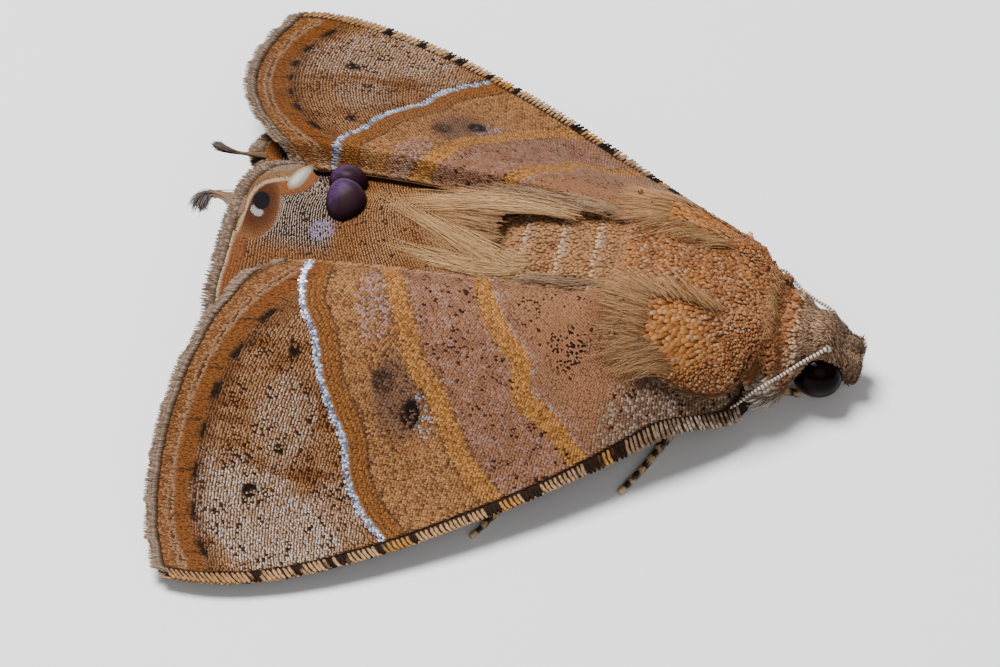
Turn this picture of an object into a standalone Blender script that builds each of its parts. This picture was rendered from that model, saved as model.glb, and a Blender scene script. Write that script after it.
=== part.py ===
"""A resting moth, life size: flat roof of forewings, hindwings lapped over the abdomen.

All lengths below are millimetres in the moth's own frame: x forward, measured from the
line between the wing tips, y to the moth's left, z up from the ground it stands on.
Each piece is modelled in millimetres, then `finish` turns it to metres and moves the
whole moth so that its origin is at the bottom centre of its box.
A (x, value) table is a list of stations that `through` joins with a smooth curve, and a
chain is a list of control points of cubic curves, each starting where the last one ends.
"""
import math

import bmesh
import bpy
from mathutils import Matrix, Vector

MM = 0.001
GAP = 0.12                     # clearance between pieces that touch on the real moth
SMOOTH_ANGLE = math.radians(50)

# ---- the roof of the wings -----------------------------------------------------------
WING_TIP = (0.20, 9.85)        # x, |y| of the forewing's apex
SHOULDER = (14.80, 2.35)       # x, |y| where the leading edge meets the collar
LEADING_EDGE = (SHOULDER, (11.0, 4.90), (4.2, 10.65), WING_TIP)
EDGE_HEIGHT = ((0.0, 0.62), (3.0, 0.64), (5.8, 0.85), (8.4, 1.10), (10.8, 1.34), (13.0, 1.62), (15.0, 2.0))
RIDGE_HEIGHT = ((0.0, 4.35), (2.0, 4.45), (11.0, 4.45), (12.2, 4.36), (13.1, 4.05),
                (14.15, 3.60), (14.8, 3.20), (15.4, 2.72))
RIDGE_HALF_WIDTH = ((9.5, 1.5), (13.0, 0.8))   # the roof is level this far each side
RIDGE_SOFTNESS = 0.12          # how gently level turns to slope, as a share of the slope
SLOPE_CURL = 0.6               # 0 a straight slope, 1 an even S from ridge to edge
ARCHED_FROM, ARCHED_OVER = 9.5, 3.0            # forward of this x the slope becomes an arch

# ---- forewings -----------------------------------------------------------------------
WING_THICKNESS = 0.50
FOREWING_CELLS = (22, 13)      # root to margin, leading to inner edge
ROOT_INNER = (14.55, 1.27)     # x, |y| of the wing root beside the thorax
TORNUS = {"left": (1.85, 1.62), "right": (1.95, 1.50)}      # the inner rear corners
TERMEN = (WING_TIP, (-1.00, 8.40), (-1.20, 3.90))           # outer margin, before the tornus
DORSUM = (ROOT_INNER, (13.0, 1.24), (12.0, 1.26), (10.5, 1.17), (8.0, 1.35))
DORSUM_BEND = {"left": (4.0, 1.90), "right": (4.0, 1.05)}   # the right wing covers more
TEGULA_DIP = 0.92              # how far the wing root lies below the roof
DIP_FROM, DIP_OVER = 10.2, 2.0                 # along x
DIP_OUTER, DIP_WIDTH = 3.8, 1.5                # along |y|

# ---- hindwings: the right one laps over the left ---------------------------------------
HINDWING_THICKNESS = 0.42
HINDWING_CELLS = (15, 18)
TAIL_LENGTH = 0.80
TAIL_COLUMN = {"left": 9, "right": 12}         # the margin column drawn out into a tail
HINDWING_DEPTH = WING_THICKNESS + 1.6 * GAP    # under the forewing's top, along its normal
LAP_SLOPE, LAP_FROM, LAP_SOFTNESS = 0.36, -1.15, 0.3        # the right one rises to the left
LEFT_RISE = 0.14
RIGHT_LEAD = ((10.5, -2.2), (9.0, -3.6), (6.0, -5.2), (2.0, -5.5))
RIGHT_INNER = ((10.3, -1.32), (9.0, -1.28), (7.9, -1.25), (7.2, -0.45),
               (6.6, 0.35), (6.3, 0.68), (5.2, 0.62),
               (4.8, 0.68), (4.4, 0.70), (3.9, 0.70),
               (3.4, 0.70), (3.0, 0.70), (2.72, 0.82),
               (2.5, 0.95), (2.35, 1.28), (1.75, 1.28))
RIGHT_MARGIN = ((2.0, -5.5), (0.6, -5.0), (-0.3, -3.2), (0.05, -1.6),
                (0.1, -0.9), (0.15, -0.6), (0.28, 0.0),
                (0.35, 0.7), (0.75, 1.28), (1.75, 1.28))
LEFT_LEAD = ((10.5, 2.2), (9.0, 3.6), (6.0, 5.2), (2.0, 5.5))
LEFT_INNER = ((10.3, 1.32), (9.0, 1.28), (7.9, 1.25), (7.4, 1.0),
              (7.0, 0.7), (6.6, 0.45), (5.6, 0.40),
              (4.6, 0.35), (3.6, 0.40), (2.2, 0.60))
LEFT_MARGIN = ((2.0, 5.5), (0.9, 4.9), (0.35, 3.6), (0.25, 2.9),
               (0.22, 2.6), (0.30, 2.3), (0.45, 1.95),
               (0.7, 1.3), (1.3, 0.8), (2.2, 0.60))
FALSE_EYES = {"right": ((3.34, 0.36), (0.52, 0.54, 0.50)),  # x, y and half sizes
              "left": ((3.38, 1.22), (0.50, 0.32, 0.58))}

# ---- body ------------------------------------------------------------------------------
THORAX_END = (11.15, 14.34)    # rear and front
THORAX_WIDTH = 1.27
THORAX_LOW = 1.30
THORAX_INSET = 0.10            # its top under the roof's ridge
THORAX_ROUNDING = 0.5
WAIST = (0.80, 0.34, 2.05)     # share of the width on top, gained below, and how far down
ABDOMEN_END = (2.90, 11.00)    # tip and front
ABDOMEN_TOP = ((2.9, 2.40), (4.0, 2.85), (6.2, 3.10), (7.5, 3.25), (8.4, 4.05), (9.5, 4.28),
               (11.0, 4.25))
ABDOMEN_LOW = ((2.9, 1.90), (4.0, 1.55), (6.5, 1.50), (11.0, 1.75))
ABDOMEN_WIDE = ((2.9, 0.30), (3.6, 0.62), (5.5, 0.90), (8.0, 1.04), (11.0, 1.00))
COLLAR_END = (14.46, 15.50)
COLLAR_WIDE = ((14.46, 0.92), (14.65, 1.12), (14.85, 1.50), (15.05, 1.74), (15.25, 1.58),
               (15.40, 1.28), (15.50, 0.95))
COLLAR_TOP = ((14.46, 3.20), (14.65, 3.18), (15.05, 2.96), (15.30, 2.74), (15.50, 2.36))
COLLAR_LOW = ((14.46, 1.30), (14.85, 0.95), (15.05, 0.82), (15.25, 0.84), (15.50, 1.10))
TEGULA_THICKNESS = 0.52
TEGULA_CENTRE = (12.75, 2.10)
TEGULA_HALF = (1.85, 0.84)     # half length and half width
TEGULA_SLANT = 0.12            # its front end lies this much nearer the thorax
TEGULA_LIFT = 0.04
HEAD_CENTRE = (16.26, 0.0, 1.62)
HEAD_SIZE = (0.64, 0.86, 1.00)  # half length, half width, half height
EYE_CENTRE = (16.25, 0.82, 1.18)
EYE_SIZE = (0.66, 0.50, 0.66)
PALP_ROUTE = ((16.84, 0.29, 0.46), (17.08, 0.32, 0.60), (17.24, 0.34, 1.00), (17.26, 0.30, 1.64))
PALP_RADIUS = ((0.0, 0.16), (0.35, 0.27), (0.7, 0.26), (1.0, 0.13))
ANTENNA_RADIUS = 0.24
ANTENNA_ROUTE = ((16.60, 0.68, 2.48), (16.45, 0.84, 2.53), (16.20, 1.06, 2.38), (15.95, 1.26, 2.20),
                 (15.65, 1.52, 1.96), (15.34, 2.00, 1.90), (15.20, 2.03, 1.56),
                 (15.12, 2.04, 1.31), (15.04, 1.72, 0.52), (14.64, 1.60, 0.56),
                 (14.30, 1.52, 0.60), (13.70, 1.80, 1.02), (13.20, 2.10, 1.10),
                 (12.70, 2.35, 1.14), (11.60, 3.10, 1.20), (10.80, 3.60, 1.15))

# ---- legs: from under the thorax out to a foot that lies on the ground -------------------
FOOT_Z = 0.19                  # centre line of a foot, whose underside is cut flat at 0
LEG_ROUTES = {
    "foreleg": ((13.95, 0.55, 1.16), (13.95, 0.60, 0.45), (14.30, 0.62, 0.40), (14.80, 0.62, 0.36),
                (15.10, 0.62, 0.27), (15.30, 0.62, FOOT_Z), (15.80, 0.62, FOOT_Z)),
    "midleg": ((13.20, 0.80, 1.14), (13.20, 1.00, 0.38), (13.00, 1.50, 0.46), (12.80, 2.10, 0.42),
               (12.60, 2.80, 0.27), (12.10, 3.90, FOOT_Z), (11.60, 4.75, FOOT_Z)),
    "hindleg": ((11.95, 0.70, 1.14), (11.90, 0.90, 0.50), (11.20, 1.50, 0.60), (10.40, 2.50, 0.52),
                (9.70, 3.40, 0.30), (9.00, 5.30, FOOT_Z), (8.00, 6.90, FOOT_Z)),
}
LEFT_FEET = {"foreleg": (15.80, 0.62), "midleg": (13.62, 4.62), "hindleg": (4.90, 6.30)}
LEFT_SHARES = (0.25, 0.6, 1.0)  # how far the last control points follow a left foot
LEG_RADIUS = ((0.0, 0.28), (0.25, 0.33), (0.48, 0.26), (0.62, 0.28), (0.75, 0.26), (1.0, 0.25))

# ---- colour and roughness ------------------------------------------------------------------
FINISH = {
    "forewing": ((0.36, 0.19, 0.09), 0.75),
    "hindwing": ((0.42, 0.30, 0.20), 0.70),
    "false_eye": ((0.07, 0.03, 0.07), 0.45),
    "thorax": ((0.42, 0.20, 0.07), 0.80),
    "tegula": ((0.45, 0.21, 0.07), 0.80),
    "abdomen": ((0.45, 0.28, 0.15), 0.80),
    "collar": ((0.42, 0.20, 0.08), 0.80),
    "head": ((0.30, 0.19, 0.12), 0.85),
    "eye": ((0.02, 0.008, 0.012), 0.15),
    "palp": ((0.32, 0.21, 0.14), 0.85),
    "antenna": ((0.55, 0.48, 0.40), 0.70),
    "foreleg": ((0.45, 0.33, 0.20), 0.80),
    "midleg": ((0.45, 0.33, 0.20), 0.80),
    "hindleg": ((0.45, 0.33, 0.20), 0.80),
}


# ---- curves ----------------------------------------------------------------------------
def smooth(t):
    """0 below 0, 1 above 1, and an even S between them."""
    t = min(max(t, 0.0), 1.0)
    return t * t * (3.0 - 2.0 * t)


def mix(a, b, t):
    """a at 0, b at 1."""
    return a + (b - a) * t


def through(stations, x):
    """A value that passes through (x, value) stations, a third of the way to S steps."""
    if x <= stations[0][0]:
        return stations[0][1]
    for (x0, v0), (x1, v1) in zip(stations, stations[1:]):
        if x <= x1:
            t = (x - x0) / (x1 - x0)
            return mix(v0, v1, mix(t, smooth(t), 0.35))
    return stations[-1][1]


def soft_step_up(past, softness):
    """About 0 below zero and about `past` above it, with a rounded corner."""
    return (past + math.hypot(past, softness)) / 2


def bezier(chain, t):
    """A point of a chain of cubic curves, t running evenly over its curves."""
    spans = (len(chain) - 1) // 3
    step = min(int(t * spans), spans - 1)
    a, b, c, d = (Vector(p) for p in chain[3 * step:3 * step + 4])
    t = t * spans - step
    s = 1.0 - t
    return a * s ** 3 + b * 3 * s * s * t + c * 3 * s * t * t + d * t ** 3


def coons(lead, inner, margin, s, v):
    """A point inside four edges: s runs root to margin, v leading to inner edge.

    The root edge is the straight line between the starts of `lead` and `inner`.
    """
    base = Vector(lead[0]).lerp(Vector(inner[0]), v)
    edges = bezier(lead, s) * (1 - v) + bezier(inner, s) * v \
        + base * (1 - s) + bezier(margin, v) * s
    corners = Vector(lead[0]).lerp(Vector(inner[0]), v) * (1 - s) \
        + Vector(lead[-1]).lerp(Vector(inner[-1]), v) * s
    return edges - corners


# ---- the roof: the height of the resting moth's upper surface ------------------------------
def edge_distance(x):
    """|y| of the forewing's leading edge at this x, by halving."""
    rear, front = 1.0, 0.0
    for _ in range(24):
        middle = (rear + front) / 2
        if bezier(LEADING_EDGE, middle).x > x:
            front = middle
        else:
            rear = middle
    return bezier(LEADING_EDGE, front).y


def roof(x, y):
    """Height of the roof of wings and thorax over the ground."""
    reach = edge_distance(min(max(x, WING_TIP[0] + 0.01), SHOULDER[0] - 0.01))
    ridge = through(RIDGE_HALF_WIDTH, x)
    down = soft_step_up((abs(y) - ridge) / (reach - ridge), RIDGE_SOFTNESS)
    up = 1.0 - down
    slope = mix(up, smooth(up), SLOPE_CURL)
    arch = math.sin(math.pi / 2 * max(up, -0.1))
    height = mix(slope, arch, smooth((x - ARCHED_FROM) / ARCHED_OVER))
    return mix(through(EDGE_HEIGHT, x), through(RIDGE_HEIGHT, x), height)


def forewing_top(x, y):
    """The roof, dipping under the tegula beside the thorax."""
    dip = smooth((x - DIP_FROM) / DIP_OVER) * smooth((DIP_OUTER - abs(y)) / DIP_WIDTH)
    return roof(x, y) - TEGULA_DIP * dip


def under_forewing(x, y):
    """The highest that a hindwing may lie."""
    return forewing_top(x, y) - HINDWING_DEPTH / normal_of(forewing_top, x, y).z


def right_top(x, y):
    """Under the right forewing, then rising over the left hindwing towards the left."""
    return under_forewing(x, y) + LAP_SLOPE * soft_step_up(y - LAP_FROM, LAP_SOFTNESS)


def left_top(x, y):
    """Under the left forewing and under the right hindwing's raised edge."""
    return under_forewing(x, y) + LEFT_RISE * smooth((y - 0.2) / 0.9) * smooth((2.0 - y) / 0.9)


def normal_of(height, x, y, step=0.05):
    """Unit normal of a height function."""
    dx = (height(x + step, y) - height(x - step, y)) / (2 * step)
    dy = (height(x, y + step) - height(x, y - step)) / (2 * step)
    return Vector((-dx, -dy, 1.0)).normalized()


# ---- mesh builders -----------------------------------------------------------------
def to_object(name, bm):
    """Mesh data in millimetres as an object with outward faces and its own material."""
    bmesh.ops.triangulate(bm, faces=bm.faces[:])
    bmesh.ops.recalc_face_normals(bm, faces=bm.faces[:])
    mesh = bpy.data.meshes.new(name)
    bm.to_mesh(mesh)
    bm.free()
    obj = bpy.data.objects.new(name, mesh)
    bpy.context.scene.collection.objects.link(obj)
    return obj


def paint(obj):
    """A Principled material in the colour of the node's kind."""
    colour, roughness = FINISH[obj.name.removesuffix("_left").removesuffix("_right")]
    material = bpy.data.materials.new(obj.name + "_finish")
    material.use_nodes = True
    shader = material.node_tree.nodes["Principled BSDF"]
    shader.inputs["Base Color"].default_value = (*colour, 1.0)
    shader.inputs["Roughness"].default_value = roughness
    shader.inputs["Metallic"].default_value = 0.0
    material.diffuse_color = (*colour, 1.0)
    obj.data.materials.clear()
    obj.data.materials.append(material)
    return obj


def plate(name, plan, height, thickness, cells, side):
    """A curved plate: plan(s, v) gives x and y, height its top, thickness its depth.

    On side -1 the plate is mirrored to the moth's right.
    """
    bm = bmesh.new()
    rows, cols = cells
    top, bottom = [], []
    for i in range(rows + 1):
        top.append([])
        bottom.append([])
        for j in range(cols + 1):
            p = plan(i / rows, j / cols)
            at = Vector((p.x, p.y, height(p.x, p.y)))
            below = at - normal_of(height, p.x, p.y) * thickness
            top[-1].append(bm.verts.new((at.x, at.y * side, at.z)))
            bottom[-1].append(bm.verts.new((below.x, below.y * side, below.z)))
    for i in range(rows):
        for j in range(cols):
            bm.faces.new((top[i][j], top[i + 1][j], top[i + 1][j + 1], top[i][j + 1]))
            bm.faces.new((bottom[i][j], bottom[i][j + 1], bottom[i + 1][j + 1], bottom[i + 1][j]))
    rim = [(i, 0) for i in range(rows)] + [(rows, j) for j in range(cols)]
    rim += [(i, cols) for i in range(rows, 0, -1)] + [(0, j) for j in range(cols, 0, -1)]
    for (i, j), (m, n) in zip(rim, rim[1:] + rim[:1]):
        bm.faces.new((top[i][j], bottom[i][j], bottom[m][n], top[m][n]))
    return to_object(name, bm)


def loft(name, rings):
    """A closed body through rings of equal length, each end closed by one face."""
    bm = bmesh.new()
    loops = [[bm.verts.new(p) for p in ring] for ring in rings]
    for a, b in zip(loops, loops[1:]):
        join_rings(bm, a, b)
    bm.faces.new(loops[0][::-1])
    bm.faces.new(loops[-1])
    return to_object(name, bm)


def join_rings(bm, a, b):
    """A band of faces between two closed rings of vertices."""
    for k in range(len(a)):
        n = (k + 1) % len(a)
        bm.faces.new((a[k], a[n], b[n], b[k]))


def tube(name, route, radius, sides, steps, floor=None):
    """A limb along a chain; radius(t) in mm, its underside cut flat at the floor."""
    rings = []
    for k in range(steps + 1):
        t = k / steps
        ahead = bezier(route, min(t + 0.01, 1.0)) - bezier(route, max(t - 0.01, 0.0))
        across = ahead.cross(Vector((0, 0, 1)))
        if across.length < 0.2 * ahead.length:
            across = ahead.cross(Vector((0, 1, 0)))
        across.normalize()
        lift = across.cross(ahead.normalized())
        ring = []
        for n in range(sides):
            angle = 2 * math.pi * n / sides
            p = bezier(route, t) + (across * math.cos(angle) + lift * math.sin(angle)) * radius(t)
            if floor is not None:
                p.z = max(p.z, floor)
            ring.append(p)
        rings.append(ring)
    return loft(name, rings)


def ellipsoid(name, centre, size, around, rows):
    """A closed ellipsoid with these half sizes."""
    bm = bmesh.new()
    bmesh.ops.create_uvsphere(bm, u_segments=around, v_segments=rows, radius=1.0)
    bmesh.ops.scale(bm, vec=size, verts=bm.verts[:])
    bmesh.ops.translate(bm, vec=centre, verts=bm.verts[:])
    return to_object(name, bm)


def cut(obj, cutters):
    """Take the cutters out of obj and keep the result as its mesh."""
    for cutter in cutters:
        modifier = obj.modifiers.new("socket", "BOOLEAN")
        modifier.operation = "DIFFERENCE"
        modifier.solver = "EXACT"
        modifier.object = cutter
    depsgraph = bpy.context.evaluated_depsgraph_get()
    mesh = bpy.data.meshes.new_from_object(obj.evaluated_get(depsgraph))
    obj.modifiers.clear()
    obj.data = mesh
    for cutter in cutters:
        bpy.data.objects.remove(cutter)


# ---- wings -------------------------------------------------------------------------
def make_forewing(word, side):
    dorsum = DORSUM + (DORSUM_BEND[word], TORNUS[word])
    termen = TERMEN + (TORNUS[word],)

    def plan(s, v):
        return coons(LEADING_EDGE, dorsum, termen, s, v)

    return plate("forewing_" + word, plan, forewing_top, WING_THICKNESS, FOREWING_CELLS, side)


def make_hindwing(word, lead, inner, margin, top):
    columns = HINDWING_CELLS[1]

    def plan(s, v):
        p = coons(lead, inner, margin, s, v)
        if s == 1 and round(v * columns) == TAIL_COLUMN[word]:
            p.x -= TAIL_LENGTH
        return p

    return plate("hindwing_" + word, plan, top, HINDWING_THICKNESS, HINDWING_CELLS, 1)


def make_false_eye(word, under):
    """The swelling of purple scales on a hindwing: half an ellipsoid on its surface."""
    (x, y), size = FALSE_EYES[word]
    bm = bmesh.new()
    bmesh.ops.create_uvsphere(bm, u_segments=14, v_segments=8, radius=1.0)
    below = [v for v in bm.verts if v.co.z < -0.01]
    bmesh.ops.delete(bm, geom=below, context="VERTS")
    bmesh.ops.holes_fill(bm, edges=[e for e in bm.edges if e.is_boundary])
    bmesh.ops.scale(bm, vec=size, verts=bm.verts[:])
    for v in bm.verts:
        v.co += Vector((x, y, under(v.co.x + x, v.co.y + y) + GAP))
    return to_object("false_eye_" + word, bm)


# ---- body ---------------------------------------------------------------------------
def body_ring(x, half_width, low, high, sides, square=1.0):
    """One cross-section of the body; square under 1 makes its sides fuller."""
    ring = []
    for k in range(sides):
        angle = 2 * math.pi * k / sides
        y = half_width * math.copysign(abs(math.sin(angle)) ** square, math.sin(angle))
        z = (low + high) / 2 + (high - low) / 2 * math.cos(angle)
        ring.append((x, y, z))
    return ring


def make_thorax():
    """Narrow between the tegulae, wider below the wing roots."""
    rings, steps = [], 12
    share, gained, depth = WAIST
    for k in range(steps + 1):
        t = k / steps
        x = mix(*THORAX_END, t)
        ends = math.sqrt(max(0.0, 1 - (2 * t - 1) ** 6))
        high = through(RIDGE_HEIGHT, x) - THORAX_INSET - THORAX_ROUNDING * (1 - ends)
        low = THORAX_LOW + THORAX_ROUNDING * (1 - ends)
        ring = []
        for (_, y, z) in body_ring(x, 1.0, low, high, 20, 0.8):
            flare = share + gained * smooth(high - depth - z)
            ring.append((x, y * flare * mix(0.62, 1.0, ends) * THORAX_WIDTH, z))
        rings.append(ring)
    return loft("thorax", rings)


def make_abdomen():
    rings, steps = [], 16
    for k in range(steps + 1):
        x = mix(*ABDOMEN_END, k / steps)
        rings.append(body_ring(x, through(ABDOMEN_WIDE, x), through(ABDOMEN_LOW, x),
                               through(ABDOMEN_TOP, x), 16, 0.65))
    return loft("abdomen", rings)


def make_collar():
    """The ruff of long scales between head and thorax."""
    rings, steps = [], 8
    for k in range(steps + 1):
        x = mix(*COLLAR_END, k / steps)
        rings.append(body_ring(x, through(COLLAR_WIDE, x), through(COLLAR_LOW, x),
                               through(COLLAR_TOP, x), 18, 0.85))
    return loft("collar", rings)


def make_tegula(word, side):
    """A shoulder pad of scales over the root of the wing, rounded to a thin rim."""
    bm = bmesh.new()
    rings, around = 4, 18

    def height(x, y):
        return roof(x, y) + TEGULA_LIFT

    def point(r, angle, face):
        """face 1 is the upper side, -1 the lower one; r runs from centre to rim."""
        x = TEGULA_CENTRE[0] + TEGULA_HALF[0] * r * math.cos(angle)
        y = TEGULA_CENTRE[1] + TEGULA_HALF[1] * r * math.sin(angle) \
            - TEGULA_SLANT * r * math.cos(angle)
        half = TEGULA_THICKNESS / 2 * math.sqrt(1 - 0.93 * r * r)
        p = Vector((x, y, height(x, y))) - normal_of(height, x, y) * half * (1 - face)
        return p.x, p.y * side, p.z

    rims = []
    for face in (1, -1):
        inside = None
        hub = bm.verts.new(point(0.0, 0.0, face))
        for i in range(1, rings + 1):
            r = math.sin(i / rings * math.pi / 2)
            ring = [bm.verts.new(point(r, 2 * math.pi * k / around, face)) for k in range(around)]
            if inside:
                join_rings(bm, inside, ring)
            else:
                for k in range(around):
                    bm.faces.new((hub, ring[k], ring[(k + 1) % around]))
            inside = ring
        rims.append(inside)
    join_rings(bm, *rims)
    return to_object("tegula_" + word, bm)


def make_head():
    """An ellipsoid with a socket for each eye."""
    head = ellipsoid("head", HEAD_CENTRE, HEAD_SIZE, 18, 12)
    x, y, z = EYE_CENTRE
    socket = [half + GAP for half in EYE_SIZE]
    cut(head, [ellipsoid("socket_tool", (x, y * side, z), socket, 16, 10) for side in (1, -1)])
    return head


def make_eye(word, side):
    x, y, z = EYE_CENTRE
    return ellipsoid("eye_" + word, (x, y * side, z), EYE_SIZE, 14, 9)


# ---- limbs ---------------------------------------------------------------------------
def mirrored(route, side):
    return [(x, y * side, z) for x, y, z in route]


def make_palp(word, side):
    return tube("palp_" + word, mirrored(PALP_ROUTE, side), lambda t: through(PALP_RADIUS, t), 8, 7)


def make_antenna(word, side):
    """From the head's top over the eye, then back under the wing."""
    return tube("antenna_" + word, mirrored(ANTENNA_ROUTE, side), lambda t: ANTENNA_RADIUS, 6, 25)


def make_leg(kind, word, side):
    route = LEG_ROUTES[kind]
    if word == "left":
        foot = LEFT_FEET[kind]
        shift = Vector((foot[0] - route[-1][0], foot[1] - route[-1][1], 0.0))
        route = route[:-3] + tuple(Vector(p) + shift * share
                                   for p, share in zip(route[-3:], LEFT_SHARES))
    return tube(kind + "_" + word, mirrored(route, side), lambda t: through(LEG_RADIUS, t),
                6, 10, floor=0.0)


# ---- the whole moth -------------------------------------------------------------------
def finish(pieces):
    """Millimetres to metres, and the origin to the bottom centre of the whole."""
    corners = [v.co for piece in pieces for v in piece.data.vertices]
    low = [min(c[k] for c in corners) for k in range(3)]
    high = [max(c[k] for c in corners) for k in range(3)]
    to_origin = Matrix.Translation((-(low[0] + high[0]) / 2, -(low[1] + high[1]) / 2, -low[2]))
    for piece in pieces:
        piece.data.transform(Matrix.Scale(MM, 4) @ to_origin)
        piece.data.shade_smooth()
        piece.data.set_sharp_from_angle(angle=SMOOTH_ANGLE)
        piece.data.update()
        paint(piece)


def build():
    for obj in list(bpy.data.objects):
        bpy.data.objects.remove(obj)
    pieces = [make_head(), make_collar(), make_thorax(), make_abdomen()]
    for word, side in (("left", 1), ("right", -1)):
        pieces += [make_eye(word, side), make_palp(word, side), make_antenna(word, side)]
        pieces += [make_tegula(word, side), make_forewing(word, side)]
        pieces += [make_leg(kind, word, side) for kind in LEG_ROUTES]
    pieces += [make_false_eye("right", right_top), make_false_eye("left", left_top)]
    pieces.append(make_hindwing("right", RIGHT_LEAD, RIGHT_INNER, RIGHT_MARGIN, right_top))
    pieces.append(make_hindwing("left", LEFT_LEAD, LEFT_INNER, LEFT_MARGIN, left_top))
    finish(pieces)


build()
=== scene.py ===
# %% [markdown]
# # A resting moth in its coat of scales
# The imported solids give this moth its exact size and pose. Here each of them is dressed:
# thin wings and a soft body take their place, and tens of thousands of scales and hairs
# are laid on them in rows, the way they grow. Everything is worked out in millimetres in
# the moth's own frame (x forward from the line of the wing tips, y to its left, z up),
# and only the finished points are turned into metres.

# %% Load the frame
import math

import bmesh
import bpy
import numpy as np
from mathutils import Matrix, Vector


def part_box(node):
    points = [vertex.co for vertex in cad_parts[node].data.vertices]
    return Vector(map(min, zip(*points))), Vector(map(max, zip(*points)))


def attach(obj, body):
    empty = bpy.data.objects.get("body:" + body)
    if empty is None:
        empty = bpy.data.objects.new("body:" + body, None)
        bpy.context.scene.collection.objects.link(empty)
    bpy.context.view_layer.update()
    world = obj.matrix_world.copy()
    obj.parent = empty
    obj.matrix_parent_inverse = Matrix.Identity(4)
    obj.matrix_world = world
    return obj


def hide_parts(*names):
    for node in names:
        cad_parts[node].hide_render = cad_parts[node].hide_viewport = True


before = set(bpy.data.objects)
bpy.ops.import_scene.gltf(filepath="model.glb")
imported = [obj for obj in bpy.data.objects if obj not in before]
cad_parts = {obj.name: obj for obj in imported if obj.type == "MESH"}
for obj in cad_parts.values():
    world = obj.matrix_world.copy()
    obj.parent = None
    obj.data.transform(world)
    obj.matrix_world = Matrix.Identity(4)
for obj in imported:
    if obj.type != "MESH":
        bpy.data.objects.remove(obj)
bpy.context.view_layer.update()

EYE_CENTRE = (16.25, 0.82, 1.18)
EYE_SIZE = (0.66, 0.50, 0.66)
low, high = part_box("eye_left")
PACKED_EYE_X = (low.x + high.x) * 500          # half the sum, in millimetres
SHIFT = np.array([EYE_CENTRE[0] - PACKED_EYE_X, 0.0, 0.0])
chance = np.random.default_rng(11)
print("the moth's frame lies", round(float(SHIFT[0]), 3), "mm behind the part's origin")


def to_metres(points):
    return (np.asarray(points, float) - SHIFT) * 0.001


# %% [markdown]
# ## Curves
# The shapes of the solids come from a few curves, and the coat has to follow nearly the
# same ones. These helpers work on whole arrays at once, because a coat has a great many
# roots, and a Python loop over each of them would take minutes.

# %% Curve helpers
def smooth(t):
    """0 below 0, 1 above 1, and an S-shaped rise between."""
    t = np.clip(t, 0.0, 1.0)
    return t * t * (3.0 - 2.0 * t)


def mix(a, b, t):
    return a + (b - a) * t


def through(stations, x):
    """The value at x of a curve through (x, value) stations."""
    at, value = np.array(stations, float).T
    x = np.clip(x, at[0], at[-1])
    i = np.clip(np.searchsorted(at, x) - 1, 0, len(at) - 2)
    t = (x - at[i]) / (at[i + 1] - at[i])
    return mix(value[i], value[i + 1], mix(t, smooth(t), 0.35))


def soft_step_up(past, softness):
    """The positive part of a number, with its corner rounded."""
    return (past + np.hypot(past, softness)) / 2


def bezier(chain, t):
    """Points of a chain of cubic curves; t is an array from 0 to 1."""
    chain = np.array(chain, float)
    spans = (len(chain) - 1) // 3
    t = np.asarray(t, float)
    step = np.minimum((t * spans).astype(int), spans - 1)
    u = (t * spans - step)[..., None]
    a, b, c, d = (chain[3 * step + k] for k in range(4))
    return a * (1 - u) ** 3 + b * 3 * u * (1 - u) ** 2 + c * 3 * u * u * (1 - u) + d * u ** 3


def unit(v):
    return v / np.maximum(np.linalg.norm(v, axis=-1, keepdims=True), 1e-9)


def flowing(points, count=48):
    """A smooth line of many points through a few."""
    p = np.array(points, float)
    p = np.vstack([2 * p[0] - p[1], p, 2 * p[-1] - p[-2]])
    t = np.linspace(0, len(points) - 1 - 1e-6, count)
    i = t.astype(int)
    u = (t - i)[:, None]
    a, b, c, d = p[i], p[i + 1], p[i + 2], p[i + 3]
    return 0.5 * (2 * b + (c - a) * u + (2 * a - 5 * b + 4 * c - d) * u ** 2
                  + (3 * b - a - 3 * c + d) * u ** 3)


def beyond(xy, line):
    """Distance of each point from a line, positive on the side of the wing's root."""
    a, b = line[:-1], line[1:]
    along = b - a
    best = np.full(len(xy), 1e9)
    side = np.ones(len(xy))
    for p, d in zip(a, along):
        t = np.clip(((xy - p) @ d) / (d @ d), 0, 1)
        gap = xy - p - t[:, None] * d
        far = np.hypot(gap[:, 0], gap[:, 1])
        closer = far < best
        best = np.where(closer, far, best)
        side = np.where(closer, np.sign(d[1] * (xy[:, 0] - p[0]) - d[0] * (xy[:, 1] - p[1])), side)
    return best * np.where(side == 0, 1, side)


print("a smooth step is", float(smooth(0.25)), "high a quarter of the way along")


# %% [markdown]
# ## The roof of the wings
# At rest the forewings form one low roof. Its height over the ground is a function of x
# and y, the one that shapes the solids, so that the dressed wings lie in them. A wing's
# plan is a patch between four curves. Only the left wing's inner edge swings a little
# further from the middle than in the solid, so that more of the hindwing shows.

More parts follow.
